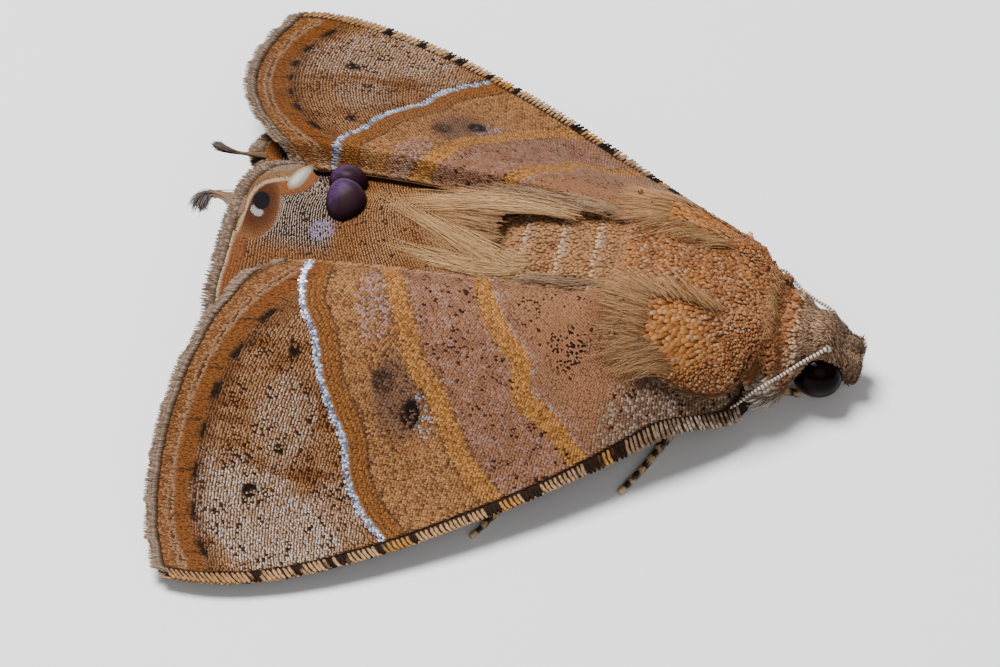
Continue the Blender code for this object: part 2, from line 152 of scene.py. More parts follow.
# %% The roof and the plans of the wings
WING_TIP = (0.20, 9.85)
SHOULDER = (14.80, 2.35)
LEADING_EDGE = (SHOULDER, (11.0, 4.90), (4.2, 10.65), WING_TIP)
EDGE_HEIGHT = ((0.0, 0.62), (3.0, 0.64), (5.8, 0.85), (8.4, 1.10), (10.8, 1.34), (13.0, 1.62), (15.0, 2.0))
RIDGE_HEIGHT = ((0.0, 4.35), (2.0, 4.45), (11.0, 4.45), (12.2, 4.36), (13.1, 4.05),
                (14.15, 3.60), (14.8, 3.20), (15.4, 2.72))
RIDGE_HALF_WIDTH = ((9.5, 1.5), (13.0, 0.8))
WING_THICKNESS = 0.50
WING_GAP = 0.192                # between a forewing's underside and the hindwing
HINDWING_DEPTH = WING_THICKNESS + WING_GAP
TERMEN = (WING_TIP, (-1.00, 8.40), (-1.20, 3.90))
TORNUS = {"left": (1.85, 1.62), "right": (1.95, 1.50)}
DORSUM = ((14.55, 1.27), (13.0, 1.24), (12.0, 1.26), (10.5, 1.17), (8.0, 1.35))
DORSUM_BEND = {"left": (4.0, 2.20), "right": (4.0, 1.05)}
EDGE_ROUNDING = 0.12            # where the ridge's flat turns into the slope
SHOULDER_DIP = 0.92             # how far the wing's root lies below the roof
ROOT_ROUND, ROOT_TURN = 0.06, 0.055     # shares of the wing's length: a round end, turned down
EDGE_TURN, EDGE_TURN_WIDTH = 0.90, 0.09         # shares of its width: where the inner edge turns down
edge_points = bezier(LEADING_EDGE, np.linspace(1, 0, 400))


def roof(x, y):
    """Height of the roof: a sloping plane behind, an arch over the shoulders."""
    reach = np.interp(x, edge_points[:, 0], edge_points[:, 1])
    ridge = through(RIDGE_HALF_WIDTH, x)
    up = 1.0 - soft_step_up((abs(y) - ridge) / (reach - ridge), EDGE_ROUNDING)
    slope = mix(up, smooth(up), 0.6)
    arch = np.sin(math.pi / 2 * np.maximum(up, -0.1))
    height = mix(slope, arch, smooth((x - 9.5) / 3.0))
    return mix(through(EDGE_HEIGHT, x), through(RIDGE_HEIGHT, x), height)


def forewing_top(x, y):
    dip = smooth((x - 10.2) / 2.0) * smooth((3.8 - abs(y)) / 1.5)
    return roof(x, y) - SHOULDER_DIP * dip


def lean(height, x, y, step=0.05):
    """The z part of a height function's unit normal."""
    dx = (height(x + step, y) - height(x - step, y)) / (2 * step)
    dy = (height(x, y + step) - height(x, y - step)) / (2 * step)
    return 1 / np.sqrt(1 + dx * dx + dy * dy)


def under_forewing(x, y):
    return forewing_top(x, y) - HINDWING_DEPTH / lean(forewing_top, x, y)


def right_top(x, y):
    """The right hindwing rises towards the middle and laps over the left one."""
    return under_forewing(x, y) + 0.36 * soft_step_up(y + 1.15, 0.3)


def left_top(x, y):
    return under_forewing(x, y) + 0.14 * smooth((y - 0.2) / 0.9) * smooth((2.0 - y) / 0.9)


class Wing:
    """One wing's upper face: s runs from root to outer margin, v from front to inner edge."""

    def __init__(self, lead, inner, margin, height, side=1, root_bend=0.0, edge_bend=0.0):
        self.lead, self.inner, self.margin = lead, inner, margin
        self.height, self.side = height, side
        self.root_bend, self.edge_bend = root_bend, edge_bend

    def plan(self, s, v):
        """The wing seen from above, before it is mirrored to its side."""
        s, v = np.broadcast_arrays(np.asarray(s, float), np.asarray(v, float))
        if self.root_bend:       # the root end is round
            v = 0.5 + (v - 0.5) * np.sqrt(1 - 0.97 * np.clip(1 - s / ROOT_ROUND, 0, 1) ** 2)
        k, w = s[..., None], v[..., None]
        first = mix(np.array(self.lead[0]), np.array(self.inner[0]), w)
        last = mix(np.array(self.lead[-1]), np.array(self.inner[-1]), w)
        edges = bezier(self.lead, s) * (1 - w) + bezier(self.inner, s) * w \
            + first * (1 - k) + bezier(self.margin, v) * k
        return edges - first * (1 - k) - last * k

    def point(self, s, v, sink=0.0):
        """Points on the upper face, or this far below it."""
        xy = self.plan(s, v)
        x, y = xy[..., 0], xy[..., 1]
        p = np.stack([x, y, self.height(x, y) - self.bent(s, v)], -1)
        if np.any(sink):
            p = p - self.normal(s, v, mirrored=False) * np.asarray(sink)[..., None]
        return p * (1, self.side, 1)

    def bent(self, s, v):
        """How far the root and the inner edge turn down from the height function."""
        s, v = np.asarray(s, float), np.asarray(v, float)
        behind = smooth((s - 0.42) / 0.12)
        return self.root_bend * np.clip(1 - s / ROOT_TURN, 0, 1) ** 2 \
            + self.edge_bend * smooth((v - EDGE_TURN) / EDGE_TURN_WIDTH) * behind

    def normal(self, s, v, mirrored=True):
        """The upper face's unit normal."""
        xy = self.plan(s, v)
        x, y, step = xy[..., 0], xy[..., 1], 0.05
        dx = (self.height(x + step, y) - self.height(x - step, y)) / (2 * step)
        dy = (self.height(x, y + step) - self.height(x, y - step)) / (2 * step)
        n = unit(np.stack([-dx, -dy, np.ones_like(dx)], -1))
        return n * (1, self.side, 1) if mirrored else n

    def outward(self, s, v, step=0.01):
        """The direction along the wing, from root to margin."""
        return unit(self.point(s, v) - self.point(np.asarray(s) - step, v))

    def edge_line(self, s=None, v=None, count=60):
        t = np.linspace(0, 1, count)
        return self.plan(t, v + 0 * t) if s is None else self.plan(s + 0 * t, t)


forewings = {word: Wing(LEADING_EDGE, DORSUM + (DORSUM_BEND[word], TORNUS[word]),
                        TERMEN + (TORNUS[word],), forewing_top, side,
                        root_bend=0.45, edge_bend=0.40)
             for word, side in (("left", 1), ("right", -1))}
wing_span = np.ptp(forewings["right"].plan(1.0, np.linspace(0, 1, 9))[:, 1])
print("the forewing's outer margin spans", round(float(wing_span), 2), "mm of its width")

# %% [markdown]
# ## Shader sums as plain sums
# A colour that changes over a wing is a long sum of masks. Wired by hand, it would be a
# hundred nodes that nobody can read. Written as Python expressions such sums stay plain: a
# Value wraps one socket, and each operator adds a Math node.

# %% A socket that can be added and multiplied
# colours are written as they look in the studio's light, and the pigment is this much darker
PIGMENT = 0.56


class Value:
    """A number, vector or colour that varies over a surface."""

    def __init__(self, paint, socket):
        self.paint, self.socket = paint, socket

    def maths(self, operation, *others):
        inputs = dict(enumerate((self,) + others))
        return self.paint.add("ShaderNodeMath", {"operation": operation}, inputs)

    def __add__(self, other):
        return self.maths("ADD", other)

    def __radd__(self, other):
        return self + other

    def __sub__(self, other):
        return self.maths("SUBTRACT", other)

    def __rsub__(self, other):
        return self.paint.value(other).maths("SUBTRACT", self)

    def __mul__(self, other):
        return self.maths("MULTIPLY", other)

    def __rmul__(self, other):
        return self * other

    def __truediv__(self, other):
        return self.maths("DIVIDE", other)

    def __abs__(self):
        return self.maths("ABSOLUTE")

    def __lt__(self, other):
        return self.maths("LESS_THAN", other)

    def __gt__(self, other):
        return self.maths("GREATER_THAN", other)

    def rising(self, start, end):
        """0 up to start, 1 from end on, smooth between; start may be the larger one."""
        t = ((self - start) / (end - start)).maths("MINIMUM", 1.0).maths("MAXIMUM", 0.0)
        return t * t * (3.0 - 2.0 * t)

    def band(self, middle, half_width, soft):
        """1 within half_width of the middle."""
        return abs(self - middle).rising(half_width + soft, half_width - soft)

    def repeating(self, length):
        """The place within stretches of this length, from 0 to 1 in each."""
        t = self / length
        return t - t.maths("FLOOR")


class Paint:
    """One material: `add` makes its nodes, and `feed` joins a value to its shader."""

    def __init__(self, name, **constants):
        self.material = bpy.data.materials.new(name)
        self.material.use_nodes = True
        self.tree = self.material.node_tree
        self.shader = self.tree.nodes["Principled BSDF"]
        for key, setting in constants.items():
            self.shader.inputs[key.replace("_", " ")].default_value = setting

    def add(self, kind, settings=None, inputs=None, output=0):
        """One node, its settings, and values or links for its inputs."""
        node = self.tree.nodes.new(kind)
        for key, setting in (settings or {}).items():
            setattr(node, key, setting)
        for key, given in (inputs or {}).items():
            if isinstance(given, Value):
                self.tree.links.new(given.socket, node.inputs[key])
            else:
                node.inputs[key].default_value = given
        return Value(self, node.outputs[output])

    def value(self, number):
        if isinstance(number, Value):
            return number
        constant = self.add("ShaderNodeValue")
        constant.socket.default_value = number
        return constant

    def field(self, name):
        """A number that is stored at the mesh's points."""
        return self.add("ShaderNodeAttribute", {"attribute_name": name}, output="Fac")

    def place(self):
        """Where a root is, in millimetres, as a vector."""
        return self.add("ShaderNodeAttribute", {"attribute_name": "place"}, output="Vector")

    def parts(self, vector):
        split = self.add("ShaderNodeSeparateXYZ", inputs={0: vector}).socket.node
        return [Value(self, out) for out in split.outputs]

    def join(self, x, y, z):
        return self.add("ShaderNodeCombineXYZ", inputs={0: x, 1: y, 2: z})

    def noise(self, where, scale, detail=2.0):
        return self.add("ShaderNodeTexNoise", inputs={"Vector": where, "Scale": scale, "Detail": detail},
                        output="Fac")

    def blend(self, a, b, factor, how="MIX"):
        """A mix of two colours; on a Mix node they are sockets 6 and 7, and the result is 2."""
        a, b = (colour if isinstance(colour, Value) else (*(PIGMENT * channel for channel in colour), 1.0)
                for colour in (a, b))
        settings = {"data_type": "RGBA", "blend_type": how, "clamp_factor": True}
        return self.add("ShaderNodeMix", settings, {0: factor, 6: a, 7: b}, output=2)

    def layers(self, base, *coats):
        """Colours laid over a base, each (colour, mask)."""
        for colour, mask in coats:
            base = self.blend(base, colour, mask)
        return base

    def grey(self, value):
        return self.add("ShaderNodeCombineColor", inputs={0: value, 1: value, 2: value})

    def feed(self, name, given):
        if isinstance(given, Value):
            self.tree.links.new(given.socket, self.shader.inputs[name])
        else:
            self.shader.inputs[name].default_value = given

    def shaded(self, colour, shade):
        """Feed a colour, darkened or lightened by a grey."""
        self.feed("Base Color", self.blend(colour, self.grey(shade), 1.0, "MULTIPLY"))

    def bump(self, height, strength, distance):
        self.feed("Normal", self.add("ShaderNodeBump", inputs={"Height": height, "Strength": strength,
                                                               "Distance": distance}))


print("pigments are", PIGMENT, "of the colours written here")


# %% [markdown]
# ## Making meshes
# Every piece is one mesh built from arrays: points, faces, and numbers stored at the points
# that its material reads. A particle system would be quicker to set up, but its hairs
# aren't a solid mesh. The map named OFBake gives each tuft a small patch of its own colour,
# at its root's place on the unwrapped skin.

# %% Mesh makers
TUFT_PATCH = 0.003


def make_piece(name, points, faces, fields, unwrap, paint, hides=()):
    """A mesh object with its material, its map and its place in the frame."""
    mesh = bpy.data.meshes.new(name)
    mesh.from_pydata(to_metres(points).tolist(), [], [list(map(int, f)) for f in faces])
    for key, values in fields.items():
        values = np.ascontiguousarray(values, np.float32)
        if values.ndim == 2:
            layer = mesh.attributes.new(key, "FLOAT_VECTOR", "POINT")
            layer.data.foreach_set("vector", values.ravel())
        else:
            layer = mesh.attributes.new(key, "FLOAT", "POINT")
            layer.data.foreach_set("value", values)
    corner = np.zeros(len(mesh.loops), np.int32)
    mesh.loops.foreach_get("vertex_index", corner)
    layer = mesh.uv_layers.new(name="OFBake")
    layer.data.foreach_set("uv", np.ascontiguousarray(unwrap[corner], np.float32).ravel())
    mesh.shade_smooth()
    mesh.materials.append(paint.material)
    obj = bpy.data.objects.new(name, mesh)
    bpy.context.scene.collection.objects.link(obj)
    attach(obj, "root")
    if hides:
        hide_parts(*hides)
    print(name, len(mesh.vertices), "points,", sum(len(f) - 2 for f in faces), "triangles")
    return obj


def grid_faces(rows, cols, closed=False):
    """Quads of a grid of points; closed joins its last column to its first."""
    i, j = np.meshgrid(np.arange(rows - 1), np.arange(cols if closed else cols - 1), indexing="ij")
    n = (j + 1) % cols
    quads = np.stack([i * cols + j, i * cols + n, (i + 1) * cols + n, (i + 1) * cols + j], -1)
    return quads.reshape(-1, 4)


def closed_sheet(top, low, rows, cols):
    """A grid of points and the one below it, joined all round."""
    count = rows * cols
    upper = grid_faces(rows, cols)
    edge = [i * cols for i in range(rows)] + [(rows - 1) * cols + j for j in range(1, cols)] \
        + [i * cols + cols - 1 for i in range(rows - 2, -1, -1)] + list(range(cols - 2, 0, -1))
    edge = np.array(edge)
    ahead = np.roll(edge, -1)
    rim = np.stack([edge, edge + count, ahead + count, ahead], -1)
    return np.vstack([top, low]), np.vstack([upper, upper[:, ::-1] + count, rim])


class Tufts:
    """Many scales or hairs of one shape, each a small bent blade.

    The profile is a list of (place along the blade, half width, height), as shares of its
    length, width and lift; cup is how far its sides hang below its middle.
    """

    def __init__(self, profile, cup=0.0, ridge=False):
        across = (-1, 0, 1) if ridge else (-1, 1)
        self.shape = np.array([(a * w, t, h - cup * abs(a)) for t, w, h in profile for a in across])
        self.faces = grid_faces(len(profile), len(across))

    def grow(self, root, ahead, up, length, width, lift):
        """Points, faces and the owner of each point."""
        ahead = unit(ahead - up * np.sum(ahead * up, -1, keepdims=True))
        right = np.cross(ahead, up)
        count, per = len(root), len(self.shape)
        a, t, h = self.shape.T
        points = root[:, None] + right[:, None] * (a * width[:, None] / 2)[..., None] \
            + ahead[:, None] * (t * length[:, None])[..., None] \
            + up[:, None] * (h * lift[:, None])[..., None]
        faces = (self.faces[None] + np.arange(count)[:, None, None] * per).reshape(-1, 4)
        owner = np.repeat(np.arange(count), per)
        return points.reshape(-1, 3), faces, owner

    def fields(self, owner, given):
        """Each root's numbers at all its points, and the place along the blade."""
        out = {key: values[owner] for key, values in given.items()}
        out["along"] = np.tile(self.shape[:, 1], owner[-1] + 1)
        return out

    def patch(self, owner, unwrap):
        """Each tuft's own small patch at its root's place on the unwrapped skin."""
        local = np.tile(self.shape[:, :2] * (0.5, 1.0) - (0, 0.5), (owner[-1] + 1, 1))
        return unwrap[owner] + local * TUFT_PATCH


def coat(name, kind, root, ahead, up, length, width, lift, fields, unwrap, paint):
    """One tuft of a kind at each root."""
    points, faces, owner = kind.grow(root, ahead, up, length, width, lift)
    return make_piece(name, points, faces, kind.fields(owner, fields), kind.patch(owner, unwrap),
                      paint)


def spread(count, middle, share):
    """Sizes scattered round a middle value."""
    return middle * (1 + share * chance.uniform(-1, 1, count))


WING_SCALE = Tufts([(0.0, 0.55, 0.0), (0.5, 1.0, 0.6), (0.92, 0.80, 1.0), (1.0, 0.40, 0.9)])
ROUND_SCALE = Tufts([(0.0, 0.30, 0.0), (0.35, 0.60, 0.7), (0.62, 0.95, 1.05), (0.85, 0.92, 1.0),
                     (0.96, 0.62, 0.75), (1.0, 0.25, 0.5)], cup=0.32, ridge=True)
RIB_SCALE = Tufts([(0.0, 0.7, -0.2), (0.2, 1.0, 0.8), (0.6, 1.0, 1.0), (0.9, 0.9, 0.8), (1.0, 0.5, 0.3)],
                  cup=1.0, ridge=True)
HAIR = Tufts([(0.0, 1.0, 0.0), (0.35, 1.0, 0.7), (0.7, 0.8, 1.0), (1.0, 0.15, 0.8)])
FRINGE = Tufts([(0.0, 0.6, 0.0), (0.45, 1.0, 0.6), (0.85, 0.9, 1.0), (1.0, 0.35, 0.9)])
print("faces in one wing scale, round scale and hair:",
      [len(kind.faces) for kind in (WING_SCALE, ROUND_SCALE, HAIR)])

# %% [markdown]
# ## The forewing's pattern
# A moth paints with its scales: each has one colour, decided by where on the wing it grows.
# So the pattern is worked out from the root's place: its distance from three lines that
# cross the wing, from the outer margin and from the front edge. The same sums colour the
# thin wing under the scales.

# %% Lines across the forewing
OUTER_LINE = ((2.88, 1.1), (2.85, 1.76), (2.84, 2.85), (3.30, 3.64), (3.60, 4.53), (4.09, 5.35),
              (4.52, 5.95), (4.74, 6.72), (5.27, 7.46), (5.93, 8.02), (6.6, 8.6))
MIDDLE_LINE = ((4.85, 0.9), (5.06, 1.64), (5.55, 2.72), (6.13, 3.88), (6.70, 4.38), (7.25, 5.09),
               (7.77, 5.74), (8.68, 6.38), (9.5, 7.0))
INNER_LINE = ((7.25, 0.7), (7.43, 1.27), (7.69, 2.11), (8.28, 2.88), (8.84, 3.34), (8.95, 3.95),
              (9.39, 4.21), (9.94, 4.45), (10.41, 4.82), (10.91, 5.08), (11.6, 5.5))
outer_line, middle_line, inner_line = (flowing(line) for line in (OUTER_LINE, MIDDLE_LINE, INNER_LINE))
VEINS_AT_RIM = 8               # the margin swings out between the veins


def forewing_fields(wing, s, v):
    """Where on the pattern each point lies, in millimetres."""
    xy = wing.plan(s, v)
    return {
        "place": np.column_stack([xy, v]),
        "outer": beyond(xy, outer_line),
        "middle": beyond(xy, middle_line),
        "inner": beyond(xy, inner_line),
        "rim": abs(beyond(xy, wing.edge_line(s=1.0))),
        "front": abs(beyond(xy, wing.edge_line(v=0.0, count=90))),
        "chance": chance.random(len(xy)),
    }


print("the outer line runs from", outer_line[0], "to", outer_line[-1])


# %% The forewing's paint
# each mark is (centre, half sizes, angle)
SHOULDER_PATCH = ((13.3, 3.3), (2.2, 1.0), -0.45)
FROST_AT_TIP = ((3.0, 8.3), (2.4, 1.15), 0.5)
FROST_IN_FIELD = ((3.0, 5.7), (0.8, 1.0))
FROST_BY_LINE = ((4.7, 7.6), (0.8, 0.8))
LILAC_PATCH = ((4.9, 2.4), (0.55, 1.1))
KIDNEY_MARK = ((5.75, 4.7), (0.65, 0.95), -0.4)
KIDNEY_FLECKS = ((5.6, 4.6), (1.0, 1.6))
KIDNEY_GLINT = ((6.45, 5.0), (0.30, 0.5), -0.5)
CORNER_SHADE = ((2.4, 3.05), (0.42, 0.5))
DISC_SPECKS = ((10.0, 2.9), (0.55, 0.50))
BLACK_SPOTS = (((6.16, 4.97), (0.26, 0.34)), ((2.92, 4.05), (0.16, 0.20)),
               ((2.94, 6.35), (0.16, 0.14)), ((2.33, 7.4), (0.22, 0.20)))
FAINT_SPOT = ((5.35, 4.4), (0.3, 0.32))


class WingMap:
    """What the parts of the forewing's pattern share: its fields, and a mask for a mark."""

    def __init__(self, paint):
        self.paint = paint
        self.where = paint.place()
        self.x, self.y, self.v = paint.parts(self.where)
        self.outer, self.middle, self.inner, self.rim, self.front, self.luck, self.along = (
            paint.field(key) for key in ("outer", "middle", "inner", "rim", "front", "chance", "along"))
        self.blotch = paint.noise(self.where, 3.0, 3.0)
        self.beyond_outer = self.outer.rising(0.02, -0.04)

    def spot(self, at, size, angle=0.0, soft=0.5):
        """1 inside an oval with a ragged edge."""
        c, n = math.cos(angle), math.sin(angle)
        u = ((self.x - at[0]) * c + (self.y - at[1]) * n) / size[0]
        w = ((self.y - at[1]) * c - (self.x - at[0]) * n) / size[1]
        return (u * u + w * w + (self.blotch - 0.5) * 1.6).rising(1.0 + soft, 1.0 - soft)


def striped_field(p, m, shaded_frost_share):
    """The outer field: pale scale tips over dark roots make stripes, with frost and dashes."""
    drawn = p.noise(p.join(m.x * 0.5, m.y * 2.2, 0.0), 1.3, 3.0)
    dashes = p.noise(p.join(m.x, m.y, 3.0), 1.6, 3.0)
    frost = (m.spot(*FROST_AT_TIP) * 0.95 + m.spot(*FROST_IN_FIELD) * 0.5
             + m.spot(*FROST_BY_LINE) * 0.45 + drawn.rising(0.54, 0.44) * 0.15) * shaded_frost_share
    dim = drawn.rising(0.46, 0.62) * (1 - frost * 0.9)
    rows = p.layers((0.34, 0.158, 0.060), ((0.24, 0.088, 0.025), dim * 0.85),
                    ((0.50, 0.36, 0.262), frost * 0.8),
                    ((0.58, 0.52, 0.50), frost * (m.luck > 0.70) * 0.8))
    gaps = p.layers((0.175, 0.060, 0.014), ((0.070, 0.022, 0.006), dim),
                    ((0.23, 0.112, 0.048), frost * 0.8))
    return p.layers(p.blend(gaps, rows, m.along.rising(0.70, 0.84)),
                    ((0.045, 0.016, 0.006), (m.luck < 0.13) * dashes.rising(0.46, 0.54)),
                    ((0.10, 0.034, 0.010), m.rim.rising(1.95, 1.45) * 0.6))


def wing_ground(p, m, field):
    """The colours between the lines: tan, rosy, orange, and grey-brown at the shoulder."""
    luck, blotch = m.luck, m.blotch
    tan = p.layers((0.40, 0.175, 0.060), ((0.26, 0.106, 0.038), blotch.rising(0.46, 0.70)),
                   ((0.50, 0.265, 0.118), (luck > 0.8) * 0.5), ((0.16, 0.070, 0.03), (luck < 0.14) * 0.8))
    rosy = p.layers((0.36, 0.162, 0.084), ((0.25, 0.110, 0.062), blotch.rising(0.45, 0.7) * 0.8),
                    ((0.37, 0.235, 0.220), (luck > 0.70) * blotch.rising(0.60, 0.42) * 0.6))
    return p.layers(
        tan,
        (rosy, m.middle.rising(0.1, 0.4)),
        ((0.37, 0.165, 0.080), m.inner.rising(0.2, 0.8)),
        ((0.25, 0.142, 0.086), m.spot(*SHOULDER_PATCH) * 0.9),
        ((0.50, 0.38, 0.29), m.spot(*SHOULDER_PATCH) * (luck > 0.62) * 0.75),
        (field, m.beyond_outer),
    )


def lines_and_marks(p, m, ground):
    """The ochre lines, the kidney mark, the black spots and the loose dark scales."""
    luck, blotch, outer, middle, inner = m.luck, m.blotch, m.outer, m.middle, m.inner
    black = sum((m.spot(*spot) for spot in BLACK_SPOTS), m.spot(*FAINT_SPOT) * 0.7) \
        + m.spot(*DISC_SPECKS) * (luck > 0.80)
    loose = (luck > 0.90) * (middle.rising(0.25, 0.5) * inner.rising(0.1, -0.1) * blotch.rising(0.40, 0.52)
                             + m.spot(*KIDNEY_FLECKS) * 0.8
                             + inner.rising(0.3, 0.6) * blotch.rising(0.50, 0.56))
    ribs = 0.5 + 0.5 * (outer * 45.0).maths("SINE")
    ochre = p.blend((0.21, 0.072, 0.015), (0.35, 0.135, 0.036), ribs)
    grain = p.blend((0.36, 0.145, 0.034), (0.56, 0.25, 0.070), luck.rising(0.05, 0.95))
    return p.layers(
        ground,
        ((0.36, 0.26, 0.31), m.spot(*LILAC_PATCH) * (luck > 0.45) * (1 - m.beyond_outer) * 0.45),
        ((0.16, 0.085, 0.055), m.spot(*KIDNEY_MARK) * 0.75 * (1 - m.beyond_outer)),
        ((0.38, 0.39, 0.48), m.spot(*KIDNEY_GLINT) * (luck > 0.60) * 0.7),
        ((0.22, 0.085, 0.03), m.spot(*CORNER_SHADE) * 0.7),
        ((0.17, 0.075, 0.035), middle.band(0.0, 0.33, 0.05) * (luck < 0.55)),
        (grain, middle.band(0.0, 0.25, 0.06)),
        (grain, inner.band(0.0, 0.25, 0.06)),
        ((0.44, 0.40, 0.42), inner.band(0.30, 0.05, 0.04) * (luck > 0.50) * 0.3),
        ((0.012, 0.005, 0.003), black * (luck > 0.25)),
        ((0.040, 0.013, 0.009), loose),
        (ochre, outer.band(0.37, 0.25, 0.03)),
        ((0.05, 0.02, 0.008), outer.band(0.66, 0.035, 0.02) * 0.75),
    )


def margin_strip(p, m):
    """Ochre and brown bands along the outer margin, with pale lines and the ends of veins."""
    crossing = (1 - abs((m.v * math.pi * VEINS_AT_RIM).maths("SINE"))).rising(0.86, 0.98)
    wide_band = m.rim.band(1.17, 0.20, 0.03)
    return p.layers(
        (0.235, 0.088, 0.026),
        ((0.33, 0.150, 0.055), (m.luck > 0.7)),
        ((0.225, 0.074, 0.014), wide_band),
        ((0.030, 0.012, 0.005), wide_band * crossing * 0.7),
        ((0.36, 0.19, 0.095), m.rim.band(0.92, 0.045, 0.02)),
        ((0.11, 0.036, 0.010), m.rim.band(0.86, 0.022, 0.02)),
        ((0.36, 0.19, 0.095), m.rim.band(0.80, 0.030, 0.02)),
        ((0.12, 0.045, 0.015), m.rim.band(0.40, 0.035, 0.03)),
        ((0.19, 0.12, 0.08), m.rim.rising(0.34, 0.28)),
    )


def forewing_paint(name, shaded_frost_share=1.0):
    """The whole pattern, with the silver line and the dark spots on top."""
    p = Paint(name, Roughness=0.66, Specular_IOR_Level=0.07)
    m = WingMap(p)
    ground = wing_ground(p, m, striped_field(p, m, shaded_frost_share))
    silver = (m.outer + (m.blotch - 0.5) * 0.10).band(0.06, 0.085, 0.02) \
        * m.y.rising(8.8, 8.2) * m.y.rising(1.28, 1.32)
    veins = abs((m.y * 3.3).maths("SINE")).rising(0.66, 0.92)
    colour = p.layers(
        lines_and_marks(p, m, ground),
        (margin_strip(p, m), m.rim.rising(1.40, 1.35)),
        ((0.016, 0.007, 0.003), m.rim.band(1.43, 0.07, 0.04) * veins * m.y.rising(2.4, 2.9)),
        # The silver line: its grey-blue and pale blue scales are the line's own colour; the near-white ones
        # on about a fifth of its scales are painted glints.
        ((0.27, 0.27, 0.38), silver * 0.85),
        ((0.54, 0.66, 0.88), silver * (m.luck > 0.40)),
        ((0.90, 0.94, 0.98), silver * (m.luck > 0.78)),
        # Near-black along the front edge, under the ribs: painted shade beneath and between them.
        ((0.060, 0.026, 0.012), m.front.rising(0.30, 0.25)),
    )
    # Each scale is darkened towards its root: painted shade where the row before it lies over it; the
    # spread by chance is the scales' own tone.
    p.shaded(colour, (0.84 + 0.30 * m.luck) * (0.36 + 0.76 * m.along.rising(0.46, 0.94)))
    p.feed("Metallic", silver * silver * 0.4)
    p.feed("Roughness", 0.66 - silver * 0.28)
    return p


def forewing_fringe_paint():
    """Grey-brown blades with pale checks and orange roots."""
    p = Paint("forewing_fringe", Roughness=0.66, Specular_IOR_Level=0.07)
    v = p.parts(p.place())[2]
    luck, along = p.field("chance"), p.field("along")
    check = (v * 420.0).maths("SINE").rising(-0.3, 0.3)
    colour = p.layers((0.20, 0.125, 0.080), ((0.42, 0.30, 0.22), check * 0.5 + luck * 0.3),
                      ((0.20, 0.080, 0.026), along.rising(0.55, 0.35)))
    # Each blade is darkened towards its root: painted shade where the layer above lies over it; the spread
    # by chance is its own tone.
    p.shaded(colour, (0.84 + 0.30 * luck) * (0.36 + 0.76 * along.rising(0.46, 0.94)))
    return p


# The left wing, the far one, gets a copy of the same paint with only 0.55 of the pale frost: a darker,
# painted-shade copy, since the two wings are mirror images.
wing_paints = {"right": forewing_paint("forewing_scales"),
               "left": forewing_paint("forewing_scales_left", shaded_frost_share=0.55)}
fringe_paint = forewing_fringe_paint()
print("the forewing's paint has", len(wing_paints["right"].tree.nodes), "nodes")


# %% [markdown]
# ## Thin wings
# A real wing is a film a few hundredths of a millimetre thick, stiffened by veins. The
# solids are half a millimetre thick so that they can be made; here a film lies just under
# their upper face, thicker at the front edge, and the scales stand on it. Scales grow in
# rows across the wing, and each lies over the root of the next, so they are set out from
# the rows' pitch and each row is shifted by half a scale.

# %% Wing films
COAT_DEPTH = 0.07              # the film lies this far under the solids' upper face
FILM, FRONT_EDGE = 0.06, 0.22  # thickness of the film, and what its front edge adds
WING_LENGTH = 14               # roughly, in millimetres
FRINGE_WIDTH = {"forewing": 0.036, "hindwing": 0.040}
FRINGE_SPREAD = {"forewing": 0.05, "hindwing": 0.15}


def run_along(line):
    """Distance along a line of points, at each point."""
    return np.concatenate([[0], np.cumsum(np.linalg.norm(np.diff(line, axis=0), axis=1))])


def on_map(s, v):
    """A wing's place on its map."""
    return np.column_stack([0.02 + 0.96 * s, 0.02 + 0.96 * v])


def wing_film(name, wing, rows, cols, s_end, fields, paint, hides):
    """The wing's thin body; its upper face takes the left half of the map."""
    s, v = (a.ravel() for a in np.meshgrid(np.linspace(0.003, s_end, rows),
                                           np.linspace(0.004, 0.996, cols), indexing="ij"))
    thick = FILM + FRONT_EDGE * np.exp(-(v / 0.035) ** 2) * (1 - 0.7 * s)
    top = wing.point(s, v, np.full(s.shape, COAT_DEPTH))
    low = wing.point(s, v, COAT_DEPTH + thick)
    points, faces = closed_sheet(top, low, rows, cols)
    crossing = np.cross(points[1] - points[0], points[cols] - points[0])
    if crossing[2] < 0:
        faces = faces[:, ::-1]
    count = rows * cols
    given = {key: np.concatenate([values, values]) for key, values in fields(wing, s, v).items()}
    # The film reads as part-way along a blade, so the painted shade at blade roots darkens it too.
    given["along"] = np.full(2 * count, 0.6)
    given["chance"] = np.full(2 * count, 0.5)
    unwrap = np.column_stack([0.02 + 0.46 * s, 0.02 + 0.96 * v])
    unwrap = np.vstack([unwrap, unwrap + (0.5, 0)])
    return make_piece(name, points, faces, given, unwrap, paint, hides)


def wing_rows(wing, pitch, across, s_from, s_to, v_from=0.008, v_to=0.992, keep=None):
    """Roots in rows from root to margin, every other row shifted by half a scale."""
    run = run_along(wing.point(np.linspace(s_from, s_to, 300), 0.45))
    rows = np.interp(np.arange(0, run[-1], pitch), run, np.linspace(s_from, s_to, 300))
    found = []
    for k, s in enumerate(rows):
        v = np.linspace(v_from, v_to, 200)
        run = run_along(wing.point(s, v))
        at = np.arange(across * (0.25 + 0.5 * (k % 2)), run[-1], across)
        at = at + chance.uniform(-0.2, 0.2, len(at)) * across
        found.append(np.column_stack([np.full(len(at), s), np.interp(at, run, v)]))
    s, v = np.vstack(found).T
    s = s + chance.uniform(-0.14, 0.14, len(s)) * pitch / WING_LENGTH
    if keep is not None:
        chosen = keep(wing.plan(s, v))
        s, v = s[chosen], v[chosen]
    return s, v


